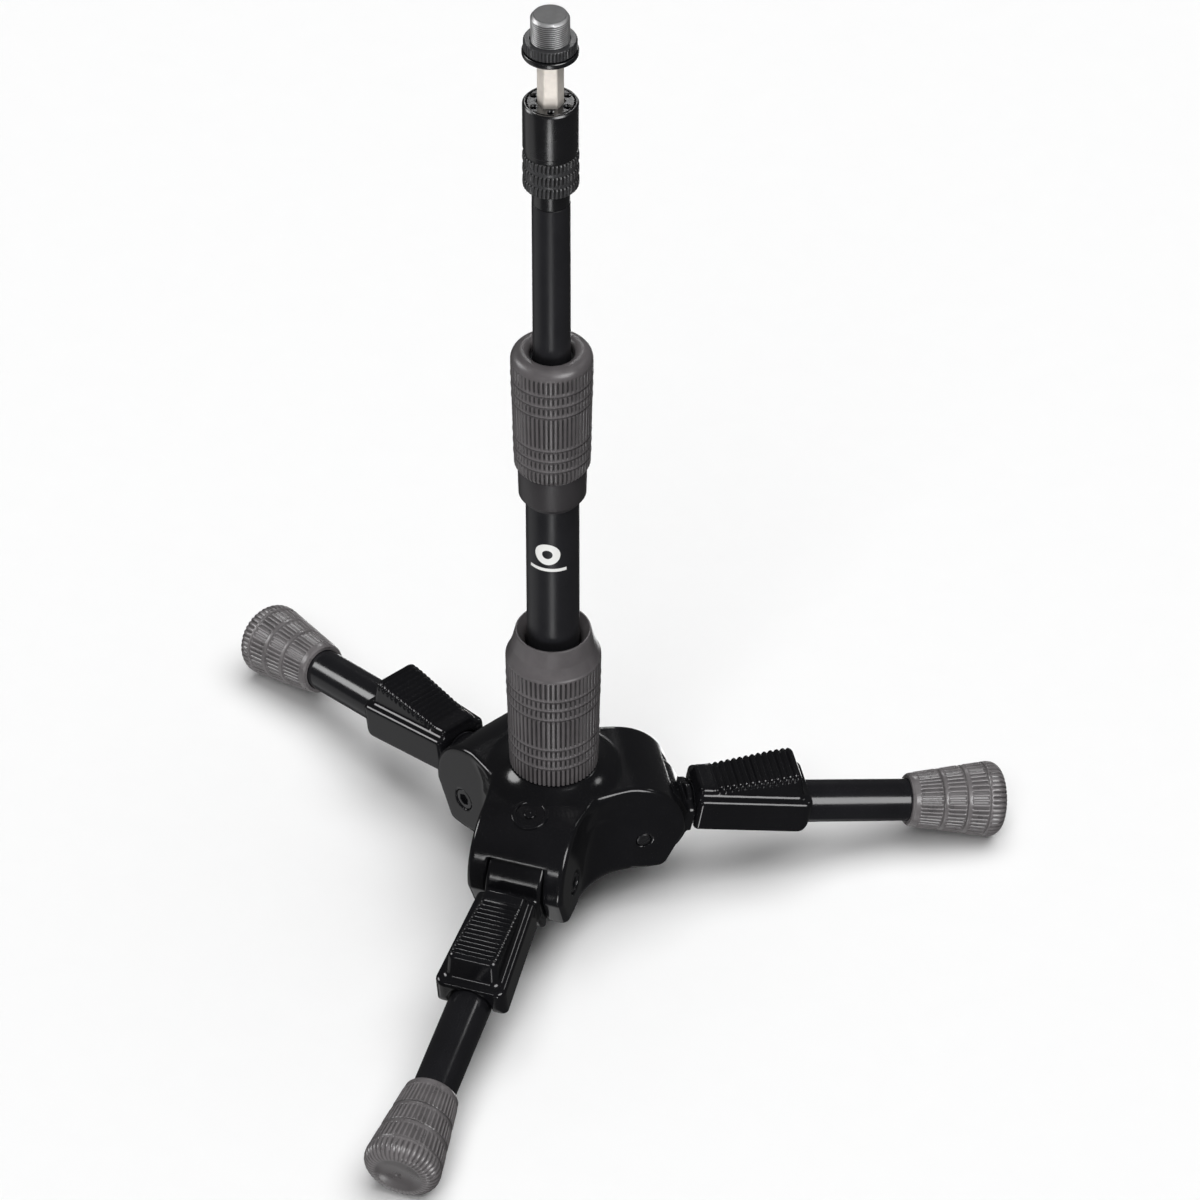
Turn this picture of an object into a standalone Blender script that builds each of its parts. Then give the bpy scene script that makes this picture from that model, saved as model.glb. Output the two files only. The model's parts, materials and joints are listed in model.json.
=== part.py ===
"""Desktop microphone stand: three folding legs, a telescopic column and a quick-release coupler.

The origin is on the shaft axis, on the table. +Z is up and the front leg points along -Y.
Sizes are written in millimetres and scaled by MM where a mesh or a location is made.
"""

import math

import bmesh
import bpy
from mathutils import Matrix, Vector

MM = 0.001
GAP = 0.3
SEGMENTS = 24

# Legs. Reaches run along the leg from the point where the leg axes cross the shaft axis.
LEG_AZIMUTHS = {"front": 270.0, "right": 30.0, "left": 150.0}
LEG_TILT = 9.56
PIVOT_REACH = 36.0
PIVOT_DROP = 9.05
TUBE_RADIUS = 9.525
TUBE_BORE_RADIUS = 8.3
TUBE_START = 61.8
FOOT_START = 163.3
FOOT_SHOULDER = 200.6
FOOT_END = 207.0
FOOT_SMALL_RADIUS = 12.0
FOOT_LARGE_RADIUS = 17.0

# Hub. Heights are from the crossing point of the leg axes, as they are for the column.
LOBE_HALF_WIDTH = 22.0
LOBE_TOP = 21.9
LOBE_RADIUS = 26.5
LOBE_CENTRE = (28.5, -4.6)
HUB_BOTTOM = -27.0
SEAT_TOP = 27.4
SPIGOT_RADIUS = 14.5
SPIGOT_TOP = 60.0
WEB_REACH = 27.4
WEB_FLARE = 5.6
HEEL_TOP = (54.78, -8.0)
HEEL_FOOT = (45.84, -27.0)
SLOT_HALF_WIDTH = 13.0
SLOT_RADIUS = 22.9
SLOT_WALL = 19.5
BARREL_RADIUS = 22.4
BARREL_HALF_WIDTH = 12.6
NECK_HALF_WIDTH = 12.0
NECK_SPAN = (-4.8, 9.1)
BOLT_RADIUS = 3.2
BOLT_HEAD_RADIUS = 4.9
BOLT_HEAD_DEPTH = 2.9
PLATE_HALF_WIDTH = 2.4
RATCHET_RADIUS = 15.0
RATCHET_STEPS = 5
RATCHET_PITCH = 20.1

# Trigger.
TRIGGER_START = 62.1
TRIGGER_END = 115.0
TRIGGER_TRAVEL = 5.5
LEDGE_HEIGHT = 11.5
WEDGE_LOW = 15.2
WEDGE_HIGH = 23.8
SKIRT_DEPTH = 4.8
PIN_PLACE = (33.0, 3.4)

# Column.
OUTER_TUBE_RADIUS = 11.4
OUTER_TUBE_BORE = 10.1
OUTER_TUBE_SPAN = (-18.7, 229.7)
INNER_TUBE_RADIUS = 7.94
INNER_TUBE_SPAN = (72.0, 330.9)
COUPLER_RADIUS = 11.45
HEX_FLATS = 9.525
HEX_BORE_FLATS = HEX_FLATS + 0.6
HEX_BORE_FLOOR = 344.9
BALL_HEIGHT = 354.0
BALL_RADIUS = 1.45
BALL_REACH = 6.55
PLATE_TOP = 380.4
PLATE_FLOOR = 376.7
PLATE_HOLES = 6
PLATE_HOLE_RADIUS = 1.05
PLATE_HOLE_REACH = 7.7
STUD_RADIUS = 7.9375
STUD_TOP = 422.5
COLUMN_TURN = 19.0

BLACK_PAINT = ("black_paint", (0.012, 0.012, 0.013), 0.18, 0.0)
BLACK_TUBE = ("black_tube", (0.016, 0.016, 0.018), 0.32, 0.6)
GRIP_RUBBER = ("grip_rubber", (0.085, 0.078, 0.08), 0.55, 0.0)
FOOT_RUBBER = ("foot_rubber", (0.1, 0.092, 0.094), 0.6, 0.0)
BLACK_PLASTIC = ("black_plastic", (0.014, 0.014, 0.015), 0.22, 0.0)
BLACK_STEEL = ("black_steel", (0.02, 0.02, 0.022), 0.25, 0.8)
NICKEL_STEEL = ("nickel_steel", (0.62, 0.58, 0.53), 0.28, 1.0)
GREY_STEEL = ("grey_steel", (0.3, 0.3, 0.31), 0.35, 1.0)
NYLON = ("black_nylon", (0.02, 0.02, 0.021), 0.5, 0.0)


def foot_profile():
    """Half outline of a foot: (reach, radius) from its small end to the rim of its domed end."""
    dome = arc((FOOT_END - 5.2, FOOT_LARGE_RADIUS - 5.2), 5.2, 75, 0, 4)
    start = [(FOOT_START, FOOT_SMALL_RADIUS - 0.6), (FOOT_START + 0.6, FOOT_SMALL_RADIUS)]
    return start + [(FOOT_SHOULDER, FOOT_LARGE_RADIUS)] + dome


def arc(centre, radius, start, end, steps):
    """Points on an arc in a plane, from one angle to another in degrees, both ends included."""
    points = []
    for step in range(steps + 1):
        angle = math.radians(start + (end - start) * step / steps)
        points.append((centre[0] + radius * math.cos(angle), centre[1] + radius * math.sin(angle)))
    return points


def crossing_height():
    """Height above the table at which the leg axes cross: the feet just reach the table."""
    tilt = math.radians(LEG_TILT)
    return max(reach * math.sin(tilt) + radius * math.cos(tilt) for reach, radius in foot_profile())


BASE_HEIGHT = crossing_height()


def material(spec):
    """The Principled material of one finish, made once."""
    name, colour, roughness, metallic = spec
    found = bpy.data.materials.get(name)
    if found:
        return found
    made = bpy.data.materials.new(name)
    made.use_nodes = True
    shader = made.node_tree.nodes["Principled BSDF"]
    shader.inputs["Base Color"].default_value = (*colour, 1.0)
    shader.inputs["Roughness"].default_value = roughness
    shader.inputs["Metallic"].default_value = metallic
    return made


def add_object(name, bm, spec):
    """Link a finished bmesh as a named object with flat or smooth faces by angle."""
    bmesh.ops.remove_doubles(bm, verts=bm.verts, dist=1e-6)
    bmesh.ops.recalc_face_normals(bm, faces=bm.faces)
    mesh = bpy.data.meshes.new(name)
    bm.to_mesh(mesh)
    bm.free()
    mesh.shade_smooth()
    mesh.set_sharp_from_angle(angle=math.radians(35))
    mesh.materials.append(material(spec))
    made = bpy.data.objects.new(name, mesh)
    bpy.context.collection.objects.link(made)
    return made


def spin_profile(bm, profile, axis, segments):
    """Turn a half outline of (along, radius) points about X or Z into a closed skin."""
    if axis == "Z":
        places = [Vector((radius, 0, along)) * MM for along, radius in profile]
        direction = (0, 0, 1)
    else:
        places = [Vector((along, 0, radius)) * MM for along, radius in profile]
        direction = (1, 0, 0)
    verts = [bm.verts.new(place) for place in places]
    edges = []
    for index, start in enumerate(verts):
        if profile[index][1] > 0 or profile[index - 1][1] > 0:
            edges.append(bm.edges.new((verts[index - 1], start)))
    bmesh.ops.spin(
        bm, geom=verts + edges, cent=(0, 0, 0), axis=direction,
        angle=math.tau, steps=segments, use_merge=True,
    )


def lathe(name, profile, spec, axis="Z", segments=SEGMENTS):
    """A turned piece. A profile that meets the axis gives a solid, any other gives a ring."""
    bm = bmesh.new()
    spin_profile(bm, profile, axis, segments)
    return add_object(name, bm, spec)


def prism(name, outline, low, high, spec, axis="Y"):
    """A plate with a flat outline, extruded along Y, Z or X between two distances."""
    bm = bmesh.new()
    place = {
        "Y": lambda a, b, along: Vector((a, along, b)),
        "Z": lambda a, b, along: Vector((a, b, along)),
        "X": lambda a, b, along: Vector((along, a, b)),
    }[axis]
    verts = [bm.verts.new(place(a, b, low) * MM) for a, b in outline]
    face = bm.faces.new(verts)
    extruded = bmesh.ops.extrude_face_region(bm, geom=[face])["geom"]
    moved = [item for item in extruded if isinstance(item, bmesh.types.BMVert)]
    bmesh.ops.translate(bm, verts=moved, vec=place(0, 0, high - low) * MM)
    return add_object(name, bm, spec)


def block(name, low, high, spec):
    """A plain box between two corners."""
    outline = [(low[0], low[1]), (high[0], low[1]), (high[0], high[1]), (low[0], high[1])]
    return prism(name, outline, low[2], high[2], spec, axis="Z")


def loft(name, rings, spec):
    """A closed skin over rings that have the same number of points each."""
    bm = bmesh.new()
    loops = [[bm.verts.new(Vector(point) * MM) for point in ring] for ring in rings]
    for lower, upper in zip(loops, loops[1:]):
        count = len(lower)
        for index in range(count):
            following = (index + 1) % count
            bm.faces.new((lower[index], lower[following], upper[following], upper[index]))
    bm.faces.new(loops[0])
    bm.faces.new(loops[-1])
    return add_object(name, bm, spec)


def coil(name, low, high, radius, wire, turns, spec, axis="Z", sides=5, per_turn=10):
    """A helical spring: a small polygon carried along a helix, with capped ends."""
    bm = bmesh.new()
    count = int(turns * per_turn)
    rings = []
    for step in range(count + 1):
        turn = math.tau * step / per_turn
        along = low + wire + (high - low - 2 * wire) * step / count
        outward = Vector((math.cos(turn), math.sin(turn), 0))
        ring = []
        for side in range(sides):
            angle = math.tau * side / sides
            offset = outward * (radius + wire * math.cos(angle))
            point = offset + Vector((0, 0, along + wire * math.sin(angle)))
            if axis == "X":
                point = Vector((point.z, point.x, point.y))
            ring.append(bm.verts.new(point * MM))
        rings.append(ring)
    for first, second in zip(rings, rings[1:]):
        for side in range(sides):
            following = (side + 1) % sides
            bm.faces.new((first[side], first[following], second[following], second[side]))
    bm.faces.new(rings[0])
    bm.faces.new(rings[-1])
    return add_object(name, bm, spec)


def shape_with(target, tool, operation):
    """Join or cut one piece with another, apply it and drop the tool."""
    modifier = target.modifiers.new(operation.lower(), "BOOLEAN")
    modifier.operation = operation
    modifier.solver = "EXACT"
    modifier.object = tool
    evaluated = target.evaluated_get(bpy.context.evaluated_depsgraph_get())
    mesh = bpy.data.meshes.new_from_object(evaluated)
    target.modifiers.clear()
    target.data = mesh
    bpy.data.objects.remove(tool)
    mesh.shade_smooth()
    mesh.set_sharp_from_angle(angle=math.radians(35))


def cut(target, tool):
    shape_with(target, tool, "DIFFERENCE")


def fuse(target, tool):
    shape_with(target, tool, "UNION")


def turned_tool(profile, axis="Z", segments=SEGMENTS):
    return lathe("tool", profile, BLACK_STEEL, axis, segments)


def cross_rod(place, radius, low, high, segments=16):
    """A rod along Y through a point in the XZ plane."""
    outline = arc(place, radius, 0, 360 * (segments - 1) / segments, segments - 1)
    return prism("tool", outline, low, high, BLACK_STEEL)


def turn_about_shaft(piece, azimuth):
    """Turn a piece's mesh about the shaft axis by an azimuth in degrees."""
    piece.data.transform(Matrix.Rotation(math.radians(azimuth), 4, "Z"))


def hexagon(flats, turn=0.0):
    """Corner points of a hexagon of a given width across its flats."""
    corner = flats / math.sqrt(3)
    points = []
    for index in range(6):
        angle = math.radians(60 * index + turn)
        points.append((corner * math.cos(angle), corner * math.sin(angle)))
    return points


# ---------------------------------------------------------------- hub


def web_ring(height):
    """Plan outline of the hub at one height: three lobes with a flat web between each pair."""
    drop = (LOBE_TOP - height) / (LOBE_TOP - HUB_BOTTOM)
    web_reach = WEB_REACH + WEB_FLARE * drop ** 2.2
    half_turn = math.radians(60)
    flank_start = (web_reach - LOBE_HALF_WIDTH * math.sin(half_turn)) / math.cos(half_turn)
    lobe_end = LOBE_CENTRE[0] + LOBE_RADIUS + 5
    ring = []
    for azimuth in sorted(LEG_AZIMUTHS.values()):
        turn = Matrix.Rotation(math.radians(azimuth), 2)
        for reach, across in (
            (flank_start, -LOBE_HALF_WIDTH), (lobe_end, -LOBE_HALF_WIDTH),
            (lobe_end, LOBE_HALF_WIDTH), (flank_start, LOBE_HALF_WIDTH),
        ):
            ring.append((*(turn @ Vector((reach, across))), height))
    return ring


def make_hub():
    """Casting with three slotted lobes, a threaded spigot and a bore for the column."""
    heights = (HUB_BOTTOM, -12.0, 4.0, LOBE_TOP)
    hub = loft("hub", [web_ring(height) for height in heights], BLACK_PAINT)
    seat = [(LOBE_TOP - 1.9, 0), (LOBE_TOP - 1.9, 24.2), (LOBE_TOP, 23.6), (SEAT_TOP, 19.4)]
    spigot = [(SEAT_TOP, SPIGOT_RADIUS), (SPIGOT_TOP, SPIGOT_RADIUS), (SPIGOT_TOP, 0)]
    fuse(hub, turned_tool(seat + spigot))
    bore_radius = OUTER_TUBE_RADIUS + GAP
    bore_floor = OUTER_TUBE_SPAN[0] - GAP
    bore_end = SPIGOT_TOP + 1
    cut(hub, turned_tool([
        (bore_floor, 0), (bore_floor, bore_radius), (bore_end, bore_radius), (bore_end, 0),
    ]))
    screw_way = [(-28.0, 0), (-28.0, 6.5), (-22.5, 6.5), (-22.5, 3.3), (-18.0, 3.3), (-18.0, 0)]
    cut(hub, turned_tool(screw_way))
    pivot = (PIVOT_REACH, -PIVOT_DROP)
    below = HUB_BOTTOM - 3
    lean = (HEEL_TOP[0] - HEEL_FOOT[0]) / (HEEL_TOP[1] - HEEL_FOOT[1])
    heel = [HEEL_TOP, (HEEL_FOOT[0] + lean * (below - HEEL_FOOT[1]), below)]
    outside = arc(LOBE_CENTRE, LOBE_RADIUS, 90, 0, 9) + heel
    outside += [(80, below), (80, 40), (LOBE_CENTRE[0], 40)]
    slot = arc(pivot, SLOT_RADIUS, 136, 0, 10)
    slot = [(SLOT_WALL, below)] + [(max(x, SLOT_WALL), z) for x, z in slot]
    slot.append((pivot[0] + SLOT_RADIUS, below))
    plate_seat = [(17.2, -14.2), (SLOT_WALL + 1.5, -14.2), (SLOT_WALL + 1.5, -3.9), (17.2, -3.9)]
    seat_depth = BOLT_HEAD_DEPTH + 0.6
    beyond = LOBE_HALF_WIDTH + 1
    for azimuth in LEG_AZIMUTHS.values():
        tools = [
            prism("tool", outside, -beyond, beyond, BLACK_STEEL),
            prism("tool", slot, -SLOT_HALF_WIDTH, SLOT_HALF_WIDTH, BLACK_STEEL),
            prism("tool", plate_seat, -PLATE_HALF_WIDTH - GAP, PLATE_HALF_WIDTH + GAP, BLACK_STEEL),
            cross_rod(pivot, BOLT_RADIUS + GAP, -beyond, beyond),
            cross_rod(pivot, BOLT_HEAD_RADIUS + GAP, LOBE_HALF_WIDTH - seat_depth, beyond),
        ]
        for tool in tools:
            turn_about_shaft(tool, azimuth)
            cut(hub, tool)
    hub.location.z = BASE_HEIGHT * MM
    return hub


def make_ratchet_plate():
    """Toothed steel plate in the middle of a slot, round the pivot. Origin at the pivot."""
    tooth_depth = 2.4
    notch_half_angle = 6.5
    points = []
    angle = -160.0
    notches = [-LEG_TILT - RATCHET_PITCH * step for step in range(RATCHET_STEPS)]
    while angle <= 160.0:
        if all(abs(angle - notch) > notch_half_angle + 1 for notch in notches):
            points.append((angle, RATCHET_RADIUS))
        angle += 16.0
    for notch in notches:
        for side, radii in ((-1, (0, tooth_depth)), (1, (tooth_depth, 0))):
            for order, depth in enumerate(radii):
                edge_angle = notch + side * notch_half_angle + 0.001 * order
                points.append((edge_angle, RATCHET_RADIUS - depth))
    points.sort()
    outline = [
        (radius * math.cos(math.radians(turn)), radius * math.sin(math.radians(turn)))
        for turn, radius in points
    ]
    outline += [(-18.4, 4.6), (-18.4, -4.6)]
    plate = prism("ratchet_plate", outline, -PLATE_HALF_WIDTH, PLATE_HALF_WIDTH, GREY_STEEL)
    cut(plate, cross_rod((0, 0), BOLT_RADIUS + GAP, -4, 4))
    return plate


def make_pivot_bolt():
    """Shoulder bolt with a hex socket in its head. Origin at the pivot."""
    head_end = LOBE_HALF_WIDTH - GAP
    head_start = head_end - BOLT_HEAD_DEPTH
    bolt = cross_rod((0, 0), BOLT_RADIUS, -head_end, head_start + 0.5)
    fuse(bolt, cross_rod((0, 0), BOLT_HEAD_RADIUS, head_start, head_end))
    socket = prism("tool", hexagon(5.0), head_end - 2.2, head_end + 1, BLACK_STEEL)
    cut(bolt, socket)
    bolt.name = "pivot_bolt"
    bolt.data.materials.clear()
    bolt.data.materials.append(material(BLACK_STEEL))
    return bolt


# ---------------------------------------------------------------- legs
# A leg's own axes: origin at its pivot, X outward along the leg, Z square to it and upward.


def leg_place(reach, height):
    """Turn (reach, height) from the crossing point and leg axis into the leg's own axes."""
    tilt = math.radians(LEG_TILT)
    pivot_reach = PIVOT_REACH * math.cos(tilt) + PIVOT_DROP * math.sin(tilt)
    pivot_height = PIVOT_REACH * math.sin(tilt) - PIVOT_DROP * math.cos(tilt)
    return reach - pivot_reach, height - pivot_height


AXIS_START, AXIS_RISE = leg_place(0.0, 0.0)


def raise_to_axis(piece):
    """Move a piece turned about X from the pivot's level up to the leg axis."""
    piece.data.transform(Matrix.Translation((0, 0, AXIS_RISE * MM)))
    return piece


def make_leg_root():
    """Knuckle with a round barrel that fills the slot, a short neck and a spigot for the tube."""
    outline = arc((0, 0), BARREL_RADIUS, -45, 132, 12) + arc((0, 0), 12.0, 140, 305, 7)
    root = prism("leg_root", outline, -BARREL_HALF_WIDTH, BARREL_HALF_WIDTH, BLACK_PAINT)
    neck_end = leg_place(TUBE_START, 0)[0] - GAP
    corner = 3.0
    right = [
        (NECK_HALF_WIDTH - corner, NECK_SPAN[0]), (NECK_HALF_WIDTH, NECK_SPAN[0] + corner),
        (NECK_HALF_WIDTH, NECK_SPAN[1] - corner), (NECK_HALF_WIDTH - corner, NECK_SPAN[1]),
    ]
    neck = right + [(-across, height) for across, height in reversed(right)]
    fuse(root, prism("tool", neck, 14.0, neck_end, BLACK_STEEL, axis="X"))
    spigot = [(neck_end - 4, 0), (neck_end - 4, 8.0), (49.0, 8.0), (50.0, 7.2), (50.0, 0)]
    fuse(root, raise_to_axis(turned_tool(spigot, axis="X")))
    cut(root, cross_rod((0, 0), RATCHET_RADIUS + 0.5, -2.8, 2.8, segments=20))
    cut(root, cross_rod((0, 0), BOLT_RADIUS + GAP, -14, 14))
    cut(root, block("tool", (14.0, -2.8, -2.8), (51.0, 2.8, 2.8), BLACK_STEEL))
    cut(root, block("tool", (28.5, -2.8, 2.0), (51.0, 2.8, 6.9), BLACK_STEEL))
    slot = pin_slot()
    cut(root, prism("tool", slot, -14, 14, BLACK_STEEL))
    return root


def pin_slot():
    """Side outline of the slot that lets the trigger pin travel."""
    radius = 2.0
    start = arc(PIN_PLACE, radius, 270, 90, 6)
    end = arc((PIN_PLACE[0] + TRIGGER_TRAVEL + 0.3, PIN_PLACE[1]), radius, 90, -90, 6)
    return start + end


def make_leg_tube():
    """Leg tube with a slot in each side for the trigger pin."""
    start = leg_place(TUBE_START, 0)[0]
    end = leg_place(FOOT_END - 10.5, 0)[0]
    profile = [(start, TUBE_BORE_RADIUS), (start, TUBE_RADIUS), (end, TUBE_RADIUS), (end, TUBE_BORE_RADIUS)]
    tube = raise_to_axis(lathe("leg_tube", profile, BLACK_TUBE, axis="X"))
    cut(tube, prism("tool", pin_slot(), -14, 14, BLACK_STEEL))
    return tube


def make_foot():
    """Conical foot with three bands and a domed end, bored for the tube."""
    bore_radius = TUBE_RADIUS + GAP
    bore_end = FOOT_END - 10.2
    outline = foot_profile() + [
        (FOOT_END, 0), (bore_end, 0), (bore_end, bore_radius), (FOOT_START, bore_radius),
    ]
    profile = [(leg_place(reach, 0)[0], radius) for reach, radius in outline]
    return raise_to_axis(lathe("foot", profile, FOOT_RUBBER, axis="X"))


def trigger_half_width(reach):
    """Half width of the trigger's shell: it widens away from the hub."""
    return 13.2 + 3.8 * (reach - TRIGGER_START) / (TRIGGER_END - TRIGGER_START)


def trigger_ring(reach, inset, low, high, slant=0.0):
    """Four corners of the trigger's section at one reach, inset from its full width."""
    half_width = trigger_half_width(reach) - inset
    ring = []
    for across, height in (
        (-half_width, low), (half_width, low), (half_width, high), (-half_width, high),
    ):
        along, rise = leg_place(reach + slant * (height - low), height)
        ring.append((along, across, rise))
    return ring


def make_trigger():
    """Open-bottomed shell round the tube with a thumb wedge on top."""
    ledge = 4.3
    shell = loft("trigger", [
        trigger_ring(TRIGGER_START, 1.2, -SKIRT_DEPTH, LEDGE_HEIGHT - 1.2),
        trigger_ring(TRIGGER_START + 1.2, 0.0, -SKIRT_DEPTH, LEDGE_HEIGHT),
        trigger_ring(TRIGGER_END - 3.0, 0.2, -SKIRT_DEPTH, LEDGE_HEIGHT),
        trigger_ring(TRIGGER_END, 3.0, -SKIRT_DEPTH + 2.5, LEDGE_HEIGHT - 1.5),
    ], BLACK_PLASTIC)
    wedge_base = LEDGE_HEIGHT - 2.0
    wedge = loft("tool", [
        trigger_ring(TRIGGER_START + 0.8, ledge, wedge_base, WEDGE_LOW),
        trigger_ring(68.5, ledge, wedge_base, WEDGE_LOW + 0.4),
        trigger_ring(110.5, ledge, wedge_base, WEDGE_HIGH, slant=-0.27),
    ], BLACK_PLASTIC)
    fuse(shell, wedge)
    hollow_radius = TUBE_RADIUS + 0.6
    below = -SKIRT_DEPTH - 17
    hollow = [(-hollow_radius, below)] + arc((0, 0), hollow_radius, 180, 0, 12) + [(hollow_radius, below)]
    hollow = [(y, leg_place(0, z)[1]) for y, z in hollow]
    low, high = leg_place(TRIGGER_START - 2, 0)[0], leg_place(TRIGGER_END + 2, 0)[0]
    cut(shell, prism("tool", hollow, low, high, BLACK_STEEL, axis="X"))
    cut(shell, cross_rod(PIN_PLACE, 1.8, -12.5, 12.5, segments=12))
    return shell


def make_trigger_pin():
    pin = cross_rod(PIN_PLACE, 1.5, -12.2, 12.2, segments=12)
    pin.name = "trigger_pin"
    return pin


def make_pawl():
    """Sliding bar that locks the leg: a chamfered tip, and a taller tail with the pin hole."""
    tip, tail = RATCHET_RADIUS + GAP, 37.2
    side = [
        (tip, -1.3), (tip + 2, -2.4), (tail, -2.4), (tail, 6.5), (29.0, 6.5), (29.0, 2.4),
        (tip + 2, 2.4), (tip, 1.3),
    ]
    pawl = prism("pawl", side, -PLATE_HALF_WIDTH, PLATE_HALF_WIDTH, GREY_STEEL)
    cut(pawl, cross_rod(PIN_PLACE, 1.8, -4, 4, segments=12))
    return pawl


def make_pawl_spring():
    spring = coil("pawl_spring", 37.5, 52.6, 2.0, 0.35, 6, GREY_STEEL, axis="X", sides=4, per_turn=8)
    spring.data.transform(Matrix.Translation((0, 0, 1.9 * MM)))
    return spring


def make_spring_seat():
    profile = [(52.9, 0), (52.9, TUBE_BORE_RADIUS - GAP), (57.0, TUBE_BORE_RADIUS - GAP), (57.0, 0)]
    return raise_to_axis(lathe("spring_seat", profile, NYLON, axis="X", segments=16))


def make_legs():
    """The three legs share their meshes: one empty per pivot, with its pieces as children."""
    fixed = [make_ratchet_plate(), make_pivot_bolt()]
    folding = [
        make_leg_root(), make_leg_tube(), make_foot(), make_spring_seat(),
        make_trigger(), make_trigger_pin(), make_pawl(), make_pawl_spring(),
    ]
    for side, azimuth in LEG_AZIMUTHS.items():
        turn = math.radians(azimuth)
        pivot = Vector((
            PIVOT_REACH * math.cos(turn), PIVOT_REACH * math.sin(turn), BASE_HEIGHT - PIVOT_DROP,
        )) * MM
        for role, pieces, tilt in (("fixed", fixed, 0.0), ("fold", folding, math.radians(LEG_TILT))):
            holder = bpy.data.objects.new(f"{side}_{role}_axis", None)
            bpy.context.collection.objects.link(holder)
            holder.location = pivot
            holder.rotation_euler = (0, tilt, turn)
            for piece in pieces:
                copy = bpy.data.objects.new(f"{side}_{piece.name}", piece.data)
                bpy.context.collection.objects.link(copy)
                copy.parent = holder
    for piece in fixed + folding:
        bpy.data.objects.remove(piece)


# ---------------------------------------------------------------- column


def column_piece(name, profile, spec, segments=SEGMENTS):
    """A turned piece of the column: profile points are (radius, height)."""
    piece = lathe(name, [(height, radius) for radius, height in profile], spec, segments=segments)
    piece.location.z = BASE_HEIGHT * MM
    return piece


def make_base():
    """What holds the outer tube in the hub."""
    column_piece("outer_tube", [
        (OUTER_TUBE_BORE, OUTER_TUBE_SPAN[0]), (OUTER_TUBE_RADIUS, OUTER_TUBE_SPAN[0]),
        (OUTER_TUBE_RADIUS, OUTER_TUBE_SPAN[1]), (OUTER_TUBE_BORE, OUTER_TUBE_SPAN[1]),
    ], BLACK_TUBE)
    column_piece("tube_plug", [(3.3, -18.4), (9.8, -18.4), (9.8, -6.0), (3.3, -6.0)], GREY_STEEL)
    screw = column_piece("anchor_screw", [
        (0, -26.2), (6.2, -26.2), (6.2, -22.8), (3.0, -22.8), (3.0, -6.2), (0, -6.2),
    ], GREY_STEEL, segments=20)
    cut(screw, prism("tool", hexagon(5.0), -27.5, -24.2, BLACK_STEEL, axis="Z"))
    column_piece("collar_collet", [
        (OUTER_TUBE_RADIUS + GAP, 60.3), (14.4, 60.3), (12.6, 84.0), (OUTER_TUBE_RADIUS + GAP, 84.0),
    ], NYLON)
    column_piece("base_collar", [
        (14.8, 27.9), (19.4, 27.9), (19.9, 28.6), (20.8, 88.4), (18.1, 95.5), (16.1, 102.5),
        (15.2, 102.5), (12.2, 98.0), (12.2, 84.6), (12.9, 84.6), (14.8, 60.0),
    ], GRIP_RUBBER, segments=32)


def make_clutch():
    """Ferrule, split collet and twist grip that lock the inner tube."""
    column_piece("clutch_ferrule", [
        (OUTER_TUBE_RADIUS + GAP, 175.8), (11.9, 175.8), (14.4, 179.3), (14.7, 193.8), (13.3, 193.8),
        (13.3, 236.0), (8.6, 236.0), (8.6, 230.0), (OUTER_TUBE_RADIUS + GAP, 230.0),
    ], BLACK_PAINT)
    column_piece("clutch_collet", [
        (INNER_TUBE_RADIUS + GAP, 236.4), (12.6, 236.4), (10.4, 250.0), (INNER_TUBE_RADIUS + GAP, 250.0),
    ], NYLON)
    shoulder = arc((12.6, 250.0), 4.7, 0, 90, 4)
    column_piece("clutch_grip", [(13.7, 194.2), (15.3, 194.2), (16.3, 196.2)] + shoulder + [
        (11.2, 254.7), (9.3, 253.4), (9.3, 250.4), (10.8, 250.4), (13.7, 236.0),
    ], GRIP_RUBBER, segments=32)


def make_slider():
    """Inner tube with its guide bush and end plug."""
    bottom, top = INNER_TUBE_SPAN
    column_piece("inner_tube", [
        (6.7, bottom), (INNER_TUBE_RADIUS, bottom), (INNER_TUBE_RADIUS, top), (6.7, top),
    ], BLACK_TUBE)
    column_piece("guide_bush", [
        (INNER_TUBE_RADIUS + GAP, bottom + 0.3), (OUTER_TUBE_BORE - GAP, bottom + 0.3),
        (OUTER_TUBE_BORE - GAP, bottom + 22), (INNER_TUBE_RADIUS + GAP, bottom + 22),
    ], NYLON)
    column_piece("inner_tube_plug", [
        (0, bottom - 3.3), (9.4, bottom - 3.3), (9.4, bottom - GAP), (6.4, bottom - GAP),
        (6.4, bottom + 12), (0, bottom + 12),
    ], NYLON)


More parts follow.
